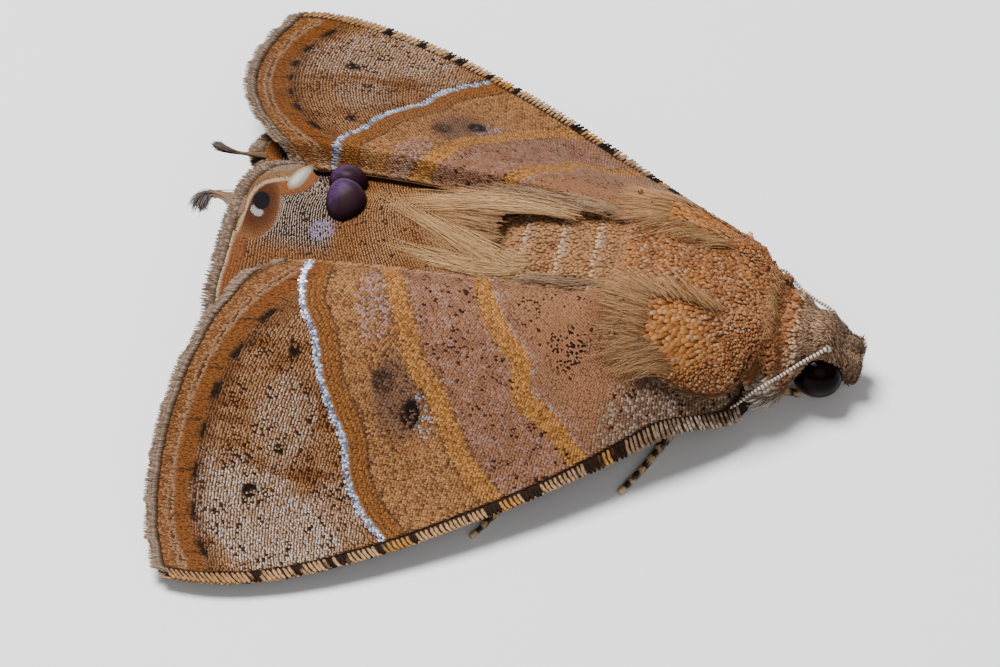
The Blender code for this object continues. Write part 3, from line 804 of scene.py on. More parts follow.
def wing_coat(name, wing, s, v, length, width, lift, fields, paint, turn=None,
              kind=WING_SCALE, sink=COAT_DEPTH, spread_by=0.15):
    """A tuft at each (s, v), lying towards the margin or turned towards the front edge."""
    root = wing.point(s, v, np.full(s.shape, sink))
    up = wing.normal(s, v)
    ahead = wing.outward(s, v)
    if turn is not None:
        ahead = ahead + np.cross(up, ahead) * (turn * wing.side)[:, None]
    ahead = ahead + np.cross(up, ahead) * chance.normal(0, 0.035, len(s))[:, None]
    n = len(s)
    return coat(name, kind, root, ahead, up, spread(n, length, spread_by), spread(n, width, 0.12),
                spread(n, lift, 0.15), fields(wing, s, v), on_map(s, v), paint)


def fringe_rows(node, wing, v, lengths, starts, lifts, fields, paint, slot, turn=None):
    """Layers of blades along the outer margin, the upper ones shorter."""
    for layer, (length, start, lift) in enumerate(zip(lengths, starts, lifts)):
        wing_coat(node + "_fringe_" + str(layer), wing, np.full(len(v), start), v, length,
                  FRINGE_WIDTH[slot], lift, fields, paint, turn=turn, kind=FRINGE,
                  spread_by=FRINGE_SPREAD[slot])


print("films", FILM, "mm thick, and", round(FILM + FRONT_EDGE, 2), "mm at the front edge")


# %% Ribs along the front edge
RIB_PITCH, RIB_REACH = 0.132, 0.36
RIB_ROWS = ((1.10, 0.75, 0.070), (0.90, 0.48, 0.080), (0.62, 0.20, 0.086), (0.34, -0.10, 0.080))
COSTAL_DARK = ((2.68, 0.12), (3.69, 0.12), (4.50, 0.10), (4.82, 0.10), (5.74, 0.09), (6.51, 0.07),
               (8.42, 0.17), (9.34, 0.22), (10.85, 0.18), (11.48, 0.16))
COSTAL_ORANGE = ((6.14, 0.30), (8.86, 0.22), (11.16, 0.18))


def front_rib_paint():
    """Cream ribs, with dark and orange ones where lines of the pattern meet the edge."""
    p = Paint("front_ribs", Roughness=0.6, Specular_IOR_Level=0.08)
    x = p.parts(p.place())[0]
    luck, along = p.field("chance"), p.field("along")
    dark = sum(x.band(at, half, 0.03) for at, half in COSTAL_DARK)
    orange = sum(x.band(at, half, 0.04) for at, half in COSTAL_ORANGE)
    colour = p.layers((0.58, 0.34, 0.165), ((0.50, 0.26, 0.11), x.rising(3.4, 1.6)),
                      ((0.36, 0.22, 0.13), x.rising(9.0, 11.0)),
                      ((0.25, 0.155, 0.10), x.rising(11.8, 13.2)),
                      ((0.42, 0.33, 0.25), x.rising(12.0, 12.8) * (luck > 0.6) * 0.8),
                      ((0.54, 0.25, 0.06), orange), ((0.022, 0.010, 0.006), dark))
    # Each rib scale is darker towards its root: painted shade where the next scale lies over it; the spread
    # by chance is its own tone.
    p.shaded(colour, (0.72 + 0.45 * luck) * (0.60 + 0.45 * along.rising(0.1, 0.6)))
    return p


def front_ribs(name, wing, paint):
    """Rows of scales that close up into ribs and run slantwise over the front edge."""
    t = np.linspace(0.035, 0.985, 500)
    run = run_along(wing.point(t, 0.0))
    s = np.interp(np.arange(0, run[-1], RIB_PITCH), run, t)
    chord = np.linalg.norm(wing.point(s, 1.0) - wing.point(s, 0.0), axis=1)
    for part, (start, stop, width) in enumerate(RIB_ROWS):
        far, near = RIB_REACH / chord * start, np.maximum(RIB_REACH / chord * stop, 0.0)
        back = 0.0075 * (1.25 - np.array((start, stop)))
        s = s + chance.normal(0, 0.0004, len(s))
        root = wing.point(s - back[0], far, np.full(len(s), 0.045))
        end = wing.point(s - back[1], near, np.full(len(s), 0.02 + 0.12 * (stop < 0)))
        length = np.linalg.norm(end - root, axis=1) + 0.05
        fields = forewing_fields(wing, s, near)
        coat(name + "_rib_" + str(part), RIB_SCALE, root, end - root, wing.normal(s, far), length,
             spread(len(s), width, 0.12), spread(len(s), 0.045, 0.3), fields, on_map(s, far), paint)


rib_paint = front_rib_paint()
print("ribs every", RIB_PITCH, "mm, reaching", RIB_REACH, "mm over the edge")

# %% Both forewings
for word, wing in forewings.items():
    node = "forewing_" + word
    wing_paint = wing_paints[word]
    wing_film(node + "_film", wing, 110, 70, 0.982, forewing_fields, wing_paint, (node,))
    s, v = wing_rows(wing, 0.085, 0.062, 0.003, 0.975)
    given = forewing_fields(wing, s, v)
    calm = (given["rim"] > 1.34) & (given["front"] > 0.25)
    wing_coat(node + "_scales", wing, s[calm], v[calm], 0.18, 0.076, 0.040, forewing_fields, wing_paint,
              spread_by=0.07)
    s, v = wing_rows(wing, 0.075, 0.050, 0.78, 0.978)
    strip = forewing_fields(wing, s, v)["rim"] < 1.40
    wing_coat(node + "_strip", wing, s[strip], v[strip], 0.24, 0.050, 0.040, forewing_fields, wing_paint)
    v = np.arange(0.004, 0.984, 0.018 / wing_span)
    scallop = 1 + 0.10 * abs(np.sin(v * math.pi * VEINS_AT_RIM))
    fringe_rows(node, wing, v, [length * scallop for length in (0.24, 0.30, 0.36)], (0.968, 0.971, 0.974),
                (0.09, 0.06, 0.02), forewing_fields, fringe_paint, "forewing",
                turn=0.35 * np.cos(v * 2 * math.pi * VEINS_AT_RIM))
    front_ribs(node, wing, rib_paint)
    s = np.arange(0.05, 0.985, 0.0030)
    wing_coat(node + "_edge_hair", wing, s, np.full(len(s), 0.001), 0.20, 0.030, 0.02, forewing_fields,
              rib_paint, turn=np.full(len(s), -0.35), kind=FRINGE, sink=0.13)

# %% [markdown]
# ## Hindwings
# Between the forewings shows a triangle of hindwing. The right one laps over the left. Its
# scales lie in rows along the outer margin, black at the root and white at the tip, which
# makes the fine stripes. On it sit a false eye: a domed swelling of purple scales, an
# ochre field with a black spot and a smooth pearly patch.

# %% Shapes of the hindwings
RIGHT_LEAD = ((10.5, -2.2), (9.0, -3.6), (6.0, -5.2), (2.0, -5.5))
RIGHT_INNER = ((10.3, -1.32), (9.0, -1.28), (7.9, -1.25), (7.2, -0.45),
               (6.6, 0.35), (6.3, 0.68), (5.2, 0.62),
               (4.8, 0.68), (4.4, 0.70), (3.9, 0.70),
               (3.4, 0.70), (3.0, 0.70), (2.72, 0.82),
               (2.5, 0.95), (2.35, 1.28), (1.75, 1.28))
RIGHT_MARGIN = ((2.0, -5.5), (0.6, -5.0), (-0.3, -3.2), (0.05, -1.6),
                (0.1, -0.9), (0.15, -0.6), (0.28, 0.0),
                (0.35, 0.7), (0.75, 1.28), (1.75, 1.28))
LEFT_LEAD = ((10.5, 2.2), (9.0, 3.6), (6.0, 5.2), (2.0, 5.5))
LEFT_INNER = ((10.3, 1.32), (9.0, 1.28), (7.9, 1.25), (7.4, 1.0),
              (7.0, 0.7), (6.6, 0.45), (5.6, 0.40),
              (4.6, 0.35), (3.6, 0.40), (2.2, 0.60))
LEFT_MARGIN = ((2.0, 5.5), (0.9, 4.9), (0.35, 3.6), (0.25, 2.9),
               (0.22, 2.6), (0.30, 2.3), (0.45, 1.95),
               (0.7, 1.3), (1.3, 0.8), (2.2, 0.60))
hindwings = {"right": Wing(RIGHT_LEAD, RIGHT_INNER, RIGHT_MARGIN, right_top),
             "left": Wing(LEFT_LEAD, LEFT_INNER, LEFT_MARGIN, left_top)}
HIDDEN_BEFORE = 9.4            # the body covers the hindwings from here on


def inside(xy, outline):
    """Which points lie inside a closed outline."""
    odd = np.zeros(len(xy), bool)
    for a, b in zip(outline, np.roll(outline, -1, axis=0)):
        spans = (a[1] > xy[:, 1]) != (b[1] > xy[:, 1])
        cross = a[0] + (xy[:, 1] - a[1]) * (b[0] - a[0]) / (b[1] - a[1] + 1e-12)
        odd ^= spans & (xy[:, 0] < cross)
    return odd


def outline_of(wing):
    edges = [wing.edge_line(v=0.0), wing.edge_line(s=1.0), wing.edge_line(v=1.0)[::-1]]
    return np.vstack(edges) * (1, wing.side)


def shown(xy, cover=0.5):
    """Points that no forewing covers by more than this."""
    free = np.ones(len(xy), bool)
    for wing in forewings.values():
        outline = outline_of(wing)
        depth = abs(beyond(xy, np.vstack([outline, outline[:1]])))
        free &= ~(inside(xy, outline) & (depth > cover))
    return free


def hindwing_fields(wing, s, v):
    """Where each point lies, and how far from the outer margin."""
    xy = wing.plan(s, v)
    return {
        "place": np.column_stack([xy, v]),
        "rim": abs(beyond(xy, wing.edge_line(s=1.0, count=90))),
        "chance": chance.random(len(xy)),
    }


print("the hindwings' margins span",
      [round(float(np.ptp(wing.edge_line(s=1.0)[:, 1])), 2) for wing in hindwings.values()], "mm")


# %% The hindwing's paint
BLACK_SPOT = ((1.17, 0.15), (0.23, 0.25), 0.5, 0.12)          # centre, half sizes, angle, softness
CRESCENT = ((1.10, -0.13), (0.19, 0.12), -0.5, 0.2)
OCHRE_FIELD = ((1.02, 0.06), (0.66, 0.98), 0.12, 0.10)
OCHRE_SHADE = ((1.08, 0.12), (0.62, 0.85), 0.12, 0.85)
VIOLET_PATCH = ((2.95, -0.42), (0.34, 0.26), 0.6, 0.5)
PEARL_AT = (2.0, 0.92)


def hindwing_paint():
    """Stripes of pale tips and dark roots, the false eye's field, and bands along the margin."""
    p = Paint("hindwing_scales", Roughness=0.64, Specular_IOR_Level=0.07)
    where = p.place()
    x, y = p.parts(where)[:2]
    rim, luck, along = p.field("rim"), p.field("chance"), p.field("along")
    blotch = p.noise(where, 2.4, 3.0)

    def oval(at, half, angle, soft):
        c, n = math.cos(angle), math.sin(angle)
        u = ((x - at[0]) * c + (y - at[1]) * n) / half[0]
        w = ((y - at[1]) * c - (x - at[0]) * n) / half[1]
        return (u * u + w * w).rising(1.0 + soft, 1.0 - soft)

    striped = x.rising(3.5, 3.0) * y.rising(-1.25, -0.6)
    pale = p.layers((0.35, 0.155, 0.052), ((0.42, 0.315, 0.24), striped),
                    ((0.50, 0.31, 0.16), x.band(4.6, 0.5, 0.4) * 0.5))
    dark = p.blend((0.15, 0.05, 0.012), (0.022, 0.008, 0.004), striped)
    rows = p.layers(p.blend(dark, pale, along.rising(0.76, 0.90)),
                    ((0.32, 0.155, 0.068), x.rising(5.4, 6.2) * 0.8),
                    ((0.03, 0.012, 0.006), (luck > 0.90) * blotch.rising(0.4, 0.6)),
                    ((0.04, 0.015, 0.008), striped * (luck > 0.80) * blotch.rising(0.48, 0.56)))
    ochre = p.blend((0.30, 0.12, 0.04), (0.085, 0.022, 0.005), oval(*OCHRE_SHADE))
    colour = p.layers(
        rows,
        ((0.30, 0.23, 0.38), oval(*VIOLET_PATCH) * (luck > 0.35) * 0.8),
        ((0.25, 0.082, 0.022), rim.rising(0.98, 0.90)),
        ((0.13, 0.042, 0.012), rim.band(0.93, 0.03, 0.03) * 0.7),
        (ochre, oval(*OCHRE_FIELD)),
        ((0.40, 0.37, 0.35), oval(*CRESCENT)),
        ((0.004, 0.003, 0.004), oval(*BLACK_SPOT)),
        ((0.52, 0.36, 0.22), rim.band(0.52, 0.05, 0.03)),
        ((0.25, 0.12, 0.05), rim.rising(0.47, 0.42)),
        ((0.25, 0.17, 0.12), rim.rising(0.33, 0.27)),
    )
    # Each scale is darkened towards its root: painted shade where the row before it lies over it; the
    # spread by chance is the scales' own tone.
    p.shaded(colour, (0.86 + 0.28 * luck) * (0.46 + 0.64 * along.rising(0.4, 0.9)))
    return p


def hindwing_fringe_paint():
    """Grey-brown blades with orange roots."""
    p = Paint("hindwing_fringe", Roughness=0.64, Specular_IOR_Level=0.07)
    luck, along = p.field("chance"), p.field("along")
    colour = p.layers((0.17, 0.11, 0.075), ((0.36, 0.26, 0.185), (luck > 0.5) * 0.6),
                      ((0.27, 0.13, 0.045), along.rising(0.60, 0.40)),
                      ((0.10, 0.05, 0.03), (luck > 0.85) * 0.8))
    # Each blade is darkened towards its root: painted shade where the layer above lies over it; the spread
    # by chance is its own tone.
    p.shaded(colour, (0.86 + 0.28 * luck) * (0.46 + 0.64 * along.rising(0.4, 0.9)))
    return p


hind_paint, hind_fringe = hindwing_paint(), hindwing_fringe_paint()
print("the hindwing's paint has", len(hind_paint.tree.nodes), "nodes")


# %% Both hindwings
def on_ochre(xy):
    """The ochre field round the black spot has the finest scales."""
    return ((xy[:, 0] - 1.1) / 0.72) ** 2 + ((xy[:, 1] - 0.06) / 0.95) ** 2 < 1


def in_view(xy):
    return shown(xy) & (xy[:, 0] < HIDDEN_BEFORE)


def plain_field(xy):
    return in_view(xy) & ~on_ochre(xy)


for word, wing in hindwings.items():
    node = "hindwing_" + word
    wing_film(node + "_film", wing, 90, 80, 0.978, hindwing_fields, hind_paint, (node,))
    if word == "right":
        s, v = wing_rows(wing, 0.050, 0.036, 0.75, 0.974, 0.01, 0.99, keep=on_ochre)
        wing_coat(node + "_fine_scales", wing, s, v, 0.11, 0.042, 0.025, hindwing_fields, hind_paint,
                  spread_by=0.06)
    s, v = wing_rows(wing, 0.082, 0.058, 0.25, 0.974, 0.01, 0.99,
                     keep=plain_field if word == "right" else in_view)
    wing_coat(node + "_scales", wing, s, v, 0.16, 0.070, 0.040, hindwing_fields, hind_paint,
              spread_by=0.06)
    v = np.linspace(0.02, 0.99, 420)
    v = v[shown(wing.plan(np.full(len(v), 1.0), v))]
    fringe_rows(node, wing, v, (0.26, 0.32, 0.36), (0.962, 0.967, 0.972), (0.07, 0.05, 0.02),
                hindwing_fields, hind_fringe, "hindwing")


# %% [markdown]
# ## False eyes
# Each dome is a swelling of the wing under flat purple scales, so close that it looks
# polished. It is modelled as a smooth dome with fine ridges from its crown; its violet is a
# painted sheen on one flank, and its near-black rim is painted shade. The pearly patch is a low smooth
# blister.

# %% Domes and the pearly patch
def dome_points(centre, half, height, rows, cols, angle, sharp):
    """A dome on a surface: its rim lies a little under the surface."""
    r = np.sin(np.linspace(0, 1, rows) * math.pi / 2)[:, None]
    a = np.linspace(0, 2 * math.pi, cols, endpoint=False)[None]
    x = half[0] * r * np.cos(a)
    y = half[1] * r * np.sin(a) * (1 - sharp * np.cos(a))
    c, n = math.cos(angle), math.sin(angle)
    x, y = centre[0] + x * c - y * n, centre[1] + x * n + y * c
    z = height(x, y) - COAT_DEPTH + half[2] * np.sqrt(np.maximum(0, 1 - r ** 2.4)) + 0 * a
    unwrap = np.stack([0.5 + 0.48 * r * np.cos(a), 0.5 + 0.48 * r * np.sin(a)], -1)
    place = np.stack([x - centre[0], y - centre[1], np.broadcast_to(r, x.shape)], -1)
    return np.stack([x, y, z], -1).reshape(-1, 3), place.reshape(-1, 3), unwrap.reshape(-1, 2)


def dome_paint():
    """Purple-black with fine streaks from the crown, a painted violet sheen on one flank and painted shade
    at the rim.
    """
    p = Paint("dome_scales", Specular_IOR_Level=0.14)
    x, y, r = p.parts(p.place())
    angle = y.maths("ARCTAN2", x)
    streaks = p.noise(p.join(angle * 9.0, r * 1.6, 0.0), 2.0, 2.0)
    lit_flank = (y * 0.9 - x * 1.1 + 0.12).rising(-0.05, 0.42)
    painted_sheen = lit_flank * r.rising(1.0, 0.75) * streaks.rising(0.30, 0.60)
    # The violet on one flank is a painted sheen, and the near-black rim is painted shade at the dome's
    # foot.
    colour = p.layers((0.034, 0.011, 0.020), ((0.075, 0.030, 0.040), streaks.rising(0.5, 0.75) * 0.6),
                      ((0.12, 0.045, 0.19), painted_sheen * 0.7), ((0.010, 0.003, 0.006), r.rising(0.88, 1.0)))
    p.feed("Base Color", colour)
    p.feed("Roughness", 0.38 + 0.2 * streaks)
    p.bump(streaks, 0.25, 0.00002)
    return p


def pearl_paint():
    """Creamy white, darker towards the rim."""
    p = Paint("pearl_scales", Roughness=0.38, Specular_IOR_Level=0.3)
    r = p.parts(p.place())[2]
    p.feed("Base Color", p.layers((0.38, 0.31, 0.235), ((0.27, 0.19, 0.13), r.rising(0.60, 0.96)),
                                  ((0.50, 0.44, 0.37), p.noise(p.place(), 4.0).rising(0.5, 0.7) * 0.5)))
    return p


def dome(name, centre, half, height, paint, hides, angle=0.0, sharp=0.0):
    """One dome; sharp narrows its front into the shape of a drop."""
    rows, cols = 36, 64
    points, place, unwrap = dome_points(centre, half, height, rows, cols, angle, sharp)
    faces = grid_faces(rows, cols, closed=True)
    return make_piece(name, points, faces, {"place": place}, unwrap, paint, hides)


violet = dome_paint()
dome("dome_right", (3.34, 0.42), (0.55, 0.52, 0.58), right_top, violet,
     ("false_eye_right",), 0.15, 0.22)
dome("dome_left", (3.19, 1.52), (0.53, 0.50, 0.70), left_top, violet, ("false_eye_left",))
dome("pearl_patch", PEARL_AT, (0.45, 0.22, 0.085), right_top, pearl_paint(), (), 0.92, 0.1)

# %% [markdown]
# ## The body's skin
# Head, ruff, thorax, shoulder pads and abdomen are one body under one coat. Their solids are
# joined with a saddle that fills the hollows between them, swollen a little so that they
# run together, and turned to one even mesh. Its skin then sinks to make room for the coat.

# %% One skin for the whole body
BODY_NODES = ("head", "collar", "thorax", "abdomen", "tegula_left", "tegula_right",
              "palp_left", "palp_right")
SWELL, SINK, GRAIN = 0.16, 0.25, 0.065
BELLY_FULLNESS = 1.15          # its long side scales reach the wings
BELLY_HALF = ((6.9, 1.75), (8.5, 1.62), (11.3, 1.42))
BELLY_CREST = ((6.9, 3.5), (7.6, 3.85), (8.4, 4.20), (11.0, 4.32))
SADDLE_MIDDLE, SADDLE_LENGTH, SADDLE_WIDTH = 12.95, 2.15, 2.75         # the last two are halves
SEGMENT = 0.98                 # of the abdomen
NECK_CENTRE, NECK_SIZE = (15.42, 0.0, 1.78), (0.80, 1.34, 0.98)
FRONS_CENTRE, FRONS_SIZE = (16.25, 0.0, 1.50), (0.84, 0.97, 0.60)      # hides the eyes' inner sides
CHEST_CENTRE, CHEST_SIZE = (14.85, 0.0, 1.38), (1.00, 2.15, 0.72)      # the wings spring from it


def slab(x_from, x_to, half, top, thick):
    """A plate whose upper face is top(x, y), out to half(x) on each side."""
    rows = cols = 40
    t, w = (a.ravel() for a in np.meshgrid(np.linspace(0, 1, rows), np.linspace(-1, 1, cols),
                                           indexing="ij"))
    x = mix(x_from, x_to, t)
    y = w * half(x)
    upper_points = np.column_stack([x, y, top(x, y)])
    return closed_sheet(upper_points, upper_points - (0, 0, thick), rows, cols)


def saddle_half(x):
    reach = np.interp(x, edge_points[:, 0], edge_points[:, 1])
    oval = np.clip(1 - ((x - SADDLE_MIDDLE) / SADDLE_LENGTH) ** 2, 0.12, 1)
    return np.minimum(SADDLE_WIDTH * np.sqrt(oval), reach - 0.25)


def saddle_top(x, y):
    return roof(x, y) - 0.10


def belly_half(x):
    return np.interp(x, *np.array(BELLY_HALF).T)


def belly_top(x, y):
    return np.interp(x, *np.array(BELLY_CREST).T) - 0.12 * (y / 1.20) ** 4 - 0.04


def joined_body():
    """Solids of the body and the saddle as one mesh in millimetres."""
    bm = bmesh.new()
    for name in BODY_NODES:
        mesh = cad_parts[name].data.copy()
        mesh.transform(Matrix.Translation(Vector(SHIFT)) @ Matrix.Scale(1000, 4))
        if name == "abdomen":
            mesh.transform(Matrix.Scale(BELLY_FULLNESS, 4, (0, 1, 0)))
        bm.from_mesh(mesh)
    for centre, size in ((NECK_CENTRE, NECK_SIZE), (FRONS_CENTRE, FRONS_SIZE), (CHEST_CENTRE, CHEST_SIZE)):
        place = Matrix.Translation(centre) @ Matrix.Diagonal((*size, 1.0))
        bmesh.ops.create_uvsphere(bm, u_segments=32, v_segments=20, radius=1.0, matrix=place)
    for points, faces in (slab(11.0, 14.80, saddle_half, saddle_top, 0.55),
                          slab(6.9, 11.3, belly_half, belly_top, 0.75)):
        verts = [bm.verts.new(p) for p in points]
        for face in faces:
            bm.faces.new([verts[i] for i in face])
    bmesh.ops.remove_doubles(bm, verts=bm.verts[:], dist=1e-4)
    bmesh.ops.recalc_face_normals(bm, faces=bm.faces[:])
    mesh = bpy.data.meshes.new("body_draft")
    bm.to_mesh(mesh)
    bm.free()
    return mesh


def settled(mesh):
    """The mesh swollen, turned to even quads, smoothed and sunk."""
    obj = bpy.data.objects.new("body_draft", mesh)
    bpy.context.scene.collection.objects.link(obj)
    for kind, settings in (("DISPLACE", {"strength": SWELL, "mid_level": 0.0}),
                           ("REMESH", {"mode": "VOXEL", "voxel_size": GRAIN}),
                           ("SMOOTH", {"factor": 0.6, "iterations": 8}),
                           ("DISPLACE", {"strength": -SINK, "mid_level": 0.0}),
                           ("SMOOTH", {"factor": 0.5, "iterations": 3})):
        modifier = obj.modifiers.new(kind.lower(), kind)
        for key, setting in settings.items():
            setattr(modifier, key, setting)
    depsgraph = bpy.context.evaluated_depsgraph_get()
    result = bpy.data.meshes.new_from_object(obj.evaluated_get(depsgraph))
    bpy.data.objects.remove(obj)
    return result


class Skin:
    """The body's skin as arrays: points, quads, normals and a six-sided unwrap."""

    def __init__(self, mesh):
        self.points = np.array([v.co for v in mesh.vertices])
        self.normals = np.array([v.normal for v in mesh.vertices])
        self.faces = np.array([p.vertices[:] for p in mesh.polygons])
        corners = self.points[self.faces]
        cross = np.cross(corners[:, 2] - corners[:, 0], corners[:, 3] - corners[:, 1])
        self.area = np.linalg.norm(cross, axis=1) / 2
        self.facing = unit(cross)
        self.middle = corners.mean(axis=1)
        axis = np.argmax(abs(self.facing) * (0.7, 1.0, 1.2), axis=1)
        chart = axis * 2 + (self.facing[np.arange(len(axis)), axis] > 0)
        low, high = self.points.min(axis=0), self.points.max(axis=0)
        share = (corners - low) / (high - low)
        across = {0: (1, 2), 1: (0, 2), 2: (0, 1)}
        self.unwrap = np.zeros((len(axis), 4, 2))
        for number in range(6):
            here = chart == number
            a, b = across[number // 2]
            u, v = share[here][:, :, a], share[here][:, :, b]
            self.unwrap[here, :, 0] = 0.01 + (number % 2 + u * 0.96) * 0.49
            self.unwrap[here, :, 1] = 0.01 + (number // 2 + v * 0.94) * 0.33

    def roots(self, where, gap):
        """Even roots where `where(point, facing)` holds, about `gap(point)` apart."""
        chosen = np.flatnonzero(where(self.middle, self.facing))
        weight = self.area[chosen] / gap(self.middle[chosen]) ** 2
        tries = int(weight.sum() * 3.2)
        face = chance.choice(chosen, tries, p=weight / weight.sum())
        a, b = chance.random((2, tries, 1))
        corner = self.points[self.faces[face]]
        point = mix(mix(corner[:, 0], corner[:, 1], a), mix(corner[:, 3], corner[:, 2], a), b)
        uv = self.unwrap[face]
        uv = mix(mix(uv[:, 0], uv[:, 1], a), mix(uv[:, 3], uv[:, 2], a), b)
        normal = self.normals[self.faces[face]]
        normal = unit(mix(mix(normal[:, 0], normal[:, 1], a), mix(normal[:, 3], normal[:, 2], a), b))
        apart = gap(point)
        cells, kept = {}, []
        size = float(apart.max())
        keys = np.floor(point / size).astype(int)
        for i in range(tries):
            kx, ky, kz = keys[i]
            near = [j for dx in (-1, 0, 1) for dy in (-1, 0, 1) for dz in (-1, 0, 1)
                    for j in cells.get((kx + dx, ky + dy, kz + dz), ())]
            gaps = np.sum((point[near] - point[i]) ** 2, axis=1)
            if not near or np.min(gaps) > (0.8 * apart[i]) ** 2:
                cells.setdefault((kx, ky, kz), []).append(i)
                kept.append(i)
        return point[kept], normal[kept], uv[kept]


skin = Skin(settled(joined_body()))
print("skin of", len(skin.faces), "faces")


# %% The coat's paint
def body_paint(name, hairy=False, bare=False):
    """Colours along the body, from the abdomen to the head; hairs are paler than scales."""
    p = Paint(name, Roughness=0.66, Specular_IOR_Level=0.07)
    where = p.place()
    x, y, z = p.parts(where)
    side = abs(y)
    luck, along = p.field("chance"), p.field("along")
    blotch = p.noise(where, 1.8, 3.0)
    orange = p.layers(p.blend((0.48, 0.165, 0.040), (0.60, 0.245, 0.070), luck),
                      ((0.52, 0.29, 0.155), along.rising(0.80, 1.0) * 0.55),
                      ((0.50, 0.30, 0.18), (luck > 0.80) * blotch.rising(0.40, 0.60) * 0.6))
    rosy = p.layers(p.blend((0.31, 0.115, 0.038), (0.44, 0.195, 0.083), luck),
                    ((0.48, 0.32, 0.22), (luck > 0.82) * 0.5))
    pad_x, pad_y = (x - 12.3) / 1.3, (side - 1.95) / 0.75
    pad = pad_x * pad_x + pad_y * pad_y
    thorax = p.layers(rosy, (orange, pad.rising(1.7, 0.4)), (orange, blotch.rising(0.45, 0.65) * 0.6))
    ruff = p.blend((0.34, 0.118, 0.038), (0.46, 0.205, 0.095), luck)
    head = p.layers(p.blend((0.44, 0.235, 0.125), (0.72, 0.47, 0.30), luck),
                    ((0.18, 0.085, 0.042), (luck < 0.14)))
    saw = (x + 0.45).repeating(SEGMENT)
    grey_band = (luck > 0.6) * saw.rising(0.25, 0.05) * side.rising(0.9, 0.4)
    belly = p.layers((0.48, 0.228, 0.098),
                     ((0.29, 0.125, 0.053), (luck > 0.62) * blotch.rising(0.4, 0.6)),
                     ((0.48, 0.35, 0.34), grey_band * 0.7),
                     ((0.70, 0.46, 0.26), saw.rising(0.88, 0.92) * saw.rising(1.0, 0.98)))
    low = p.blend((0.36, 0.25, 0.17), (0.76, 0.62, 0.50), luck)
    colour = p.layers(
        belly,
        (thorax, x.rising(10.9, 11.3)),
        (ruff, x.rising(14.3, 14.7)),
        (head, (x - z.rising(2.2, 2.8) * 0.25).rising(15.42, 15.66)),
        ((0.34, 0.21, 0.13), z.rising(1.5, 1.1) * x.rising(15.2, 15.4) * 0.5),
        (low, z.rising(2.1, 1.6) * x.rising(15.5, 15.2)),
        ((0.56, 0.37, 0.23), x.rising(16.9, 17.1) * z.rising(1.2, 1.5) * 0.5),
    )
    if hairy:
        colour = p.layers(colour, ((0.52, 0.37, 0.24), x.rising(14.6, 14.2) * (0.35 + 0.5 * luck)))
    # Each scale and hair is darkened towards its root: painted shade where the coat lies over it; the
    # spread by chance is its own tone. The bare skin takes a flat 0.55.
    shade = (0.86 + 0.24 * luck) * (0.46 + 0.64 * along.rising(0.30, 0.95))
    p.shaded(colour, 0.55 if bare else shade)
    return p


scale_paint = body_paint("body_scales")
hair_paint = body_paint("body_hair", hairy=True)
skin_paint = body_paint("body_skin", bare=True)
skin_fields = {"place": skin.points, "along": np.full(len(skin.points), 0.3),
               "chance": np.full(len(skin.points), 0.4)}
body = make_piece("body_skin", skin.points, skin.faces, skin_fields, np.zeros((len(skin.points), 2)),
                  skin_paint, BODY_NODES)
body.data.uv_layers["OFBake"].data.foreach_set("uv", skin.unwrap.astype(np.float32).ravel())


# %% [markdown]
# ## The body's coat
# The back and the shoulder pads carry broad round scales that overlap like roof tiles.
# The head, the palps and the underside are covered with narrow ones. Roots are thrown at
# random on the skin and kept where none lies too near, which is more even than chance
# and less regular than a grid.

# %% Coat of scales and hairs
def lie(point):
    """Which way the coat lies: backwards, and outwards on the sides."""
    y, ones = point[:, 1], np.ones(len(point))
    way = np.column_stack([-ones, 0.10 * np.sign(y) * np.minimum(abs(y), 1), -0.15 * ones])
    front = point[:, 0] > 16.45
    way[front] = (-0.25, 0.0, 1.0)
    palps = (point[:, 0] > 16.75) & (point[:, 2] < 1.75)
    way[palps] = (0.15, 0.0, 1.0)
    return way


def body_coat(name, kind, where, gap, length, width, lift, paint, scatter=0.12, dig=0.0):
    """Tufts where `where` holds; gap is a function of the point, length and width may be."""
    point, normal, uv = skin.roots(where, gap)
    ahead = lie(point)
    ahead = unit(ahead - normal * np.sum(ahead * normal, axis=1, keepdims=True))
    ahead = ahead + np.cross(normal, ahead) * chance.normal(0, scatter, len(point))[:, None]
    n = len(point)
    size = length(point) if callable(length) else np.full(n, length)
    broad = width(point) if callable(width) else np.full(n, width)
    fields = {"place": point, "chance": chance.random(n)}
    return coat(name, kind, point - normal * dig, ahead, normal, size * chance.uniform(0.85, 1.15, n),
                broad * chance.uniform(0.88, 1.12, n), lift * chance.uniform(0.7, 1.3, n),
                fields, uv, paint)


def pad_size(point, small, large):
    """Larger in the middle of the shoulder pads."""
    far = ((point[:, 0] - 12.3) / 1.7) ** 2 + ((abs(point[:, 1]) - 1.9) / 1.0) ** 2
    return mix(large, small, smooth(far))


BACK_FROM = 10.9               # the back's coat lies before this, the abdomen's behind it


def on_back(point, facing):
    upward = (facing[:, 2] > -0.2) | ((point[:, 0] > 13.8) & (point[:, 2] > 2.0))
    return (point[:, 0] > BACK_FROM) & (point[:, 0] < 15.75) & upward & (point[:, 2] > 1.5)


def on_belly(point, facing):
    return (point[:, 0] <= BACK_FROM) & (point[:, 0] > 6.0)


def in_fold(point, facing):
    """The folds round the pads, where long scales would sink into the skin."""
    x, y, z = point[:, 0], abs(point[:, 1]), point[:, 2]
    front = (x > 13.9) & (x < 15.2) & (y > 1.0) & (z > 1.9) & (z < 3.4)
    return front | ((y > 2.25) & (x > 12.2) & (x < 14.7) & (z < 2.9) & (z > 1.6))


def on_head(point, facing):
    return (point[:, 0] >= 15.4) & ~on_back(point, facing)


def on_low(point, facing):
    return (point[:, 0] > BACK_FROM) & (point[:, 0] < 15.45) & ~on_back(point, facing)


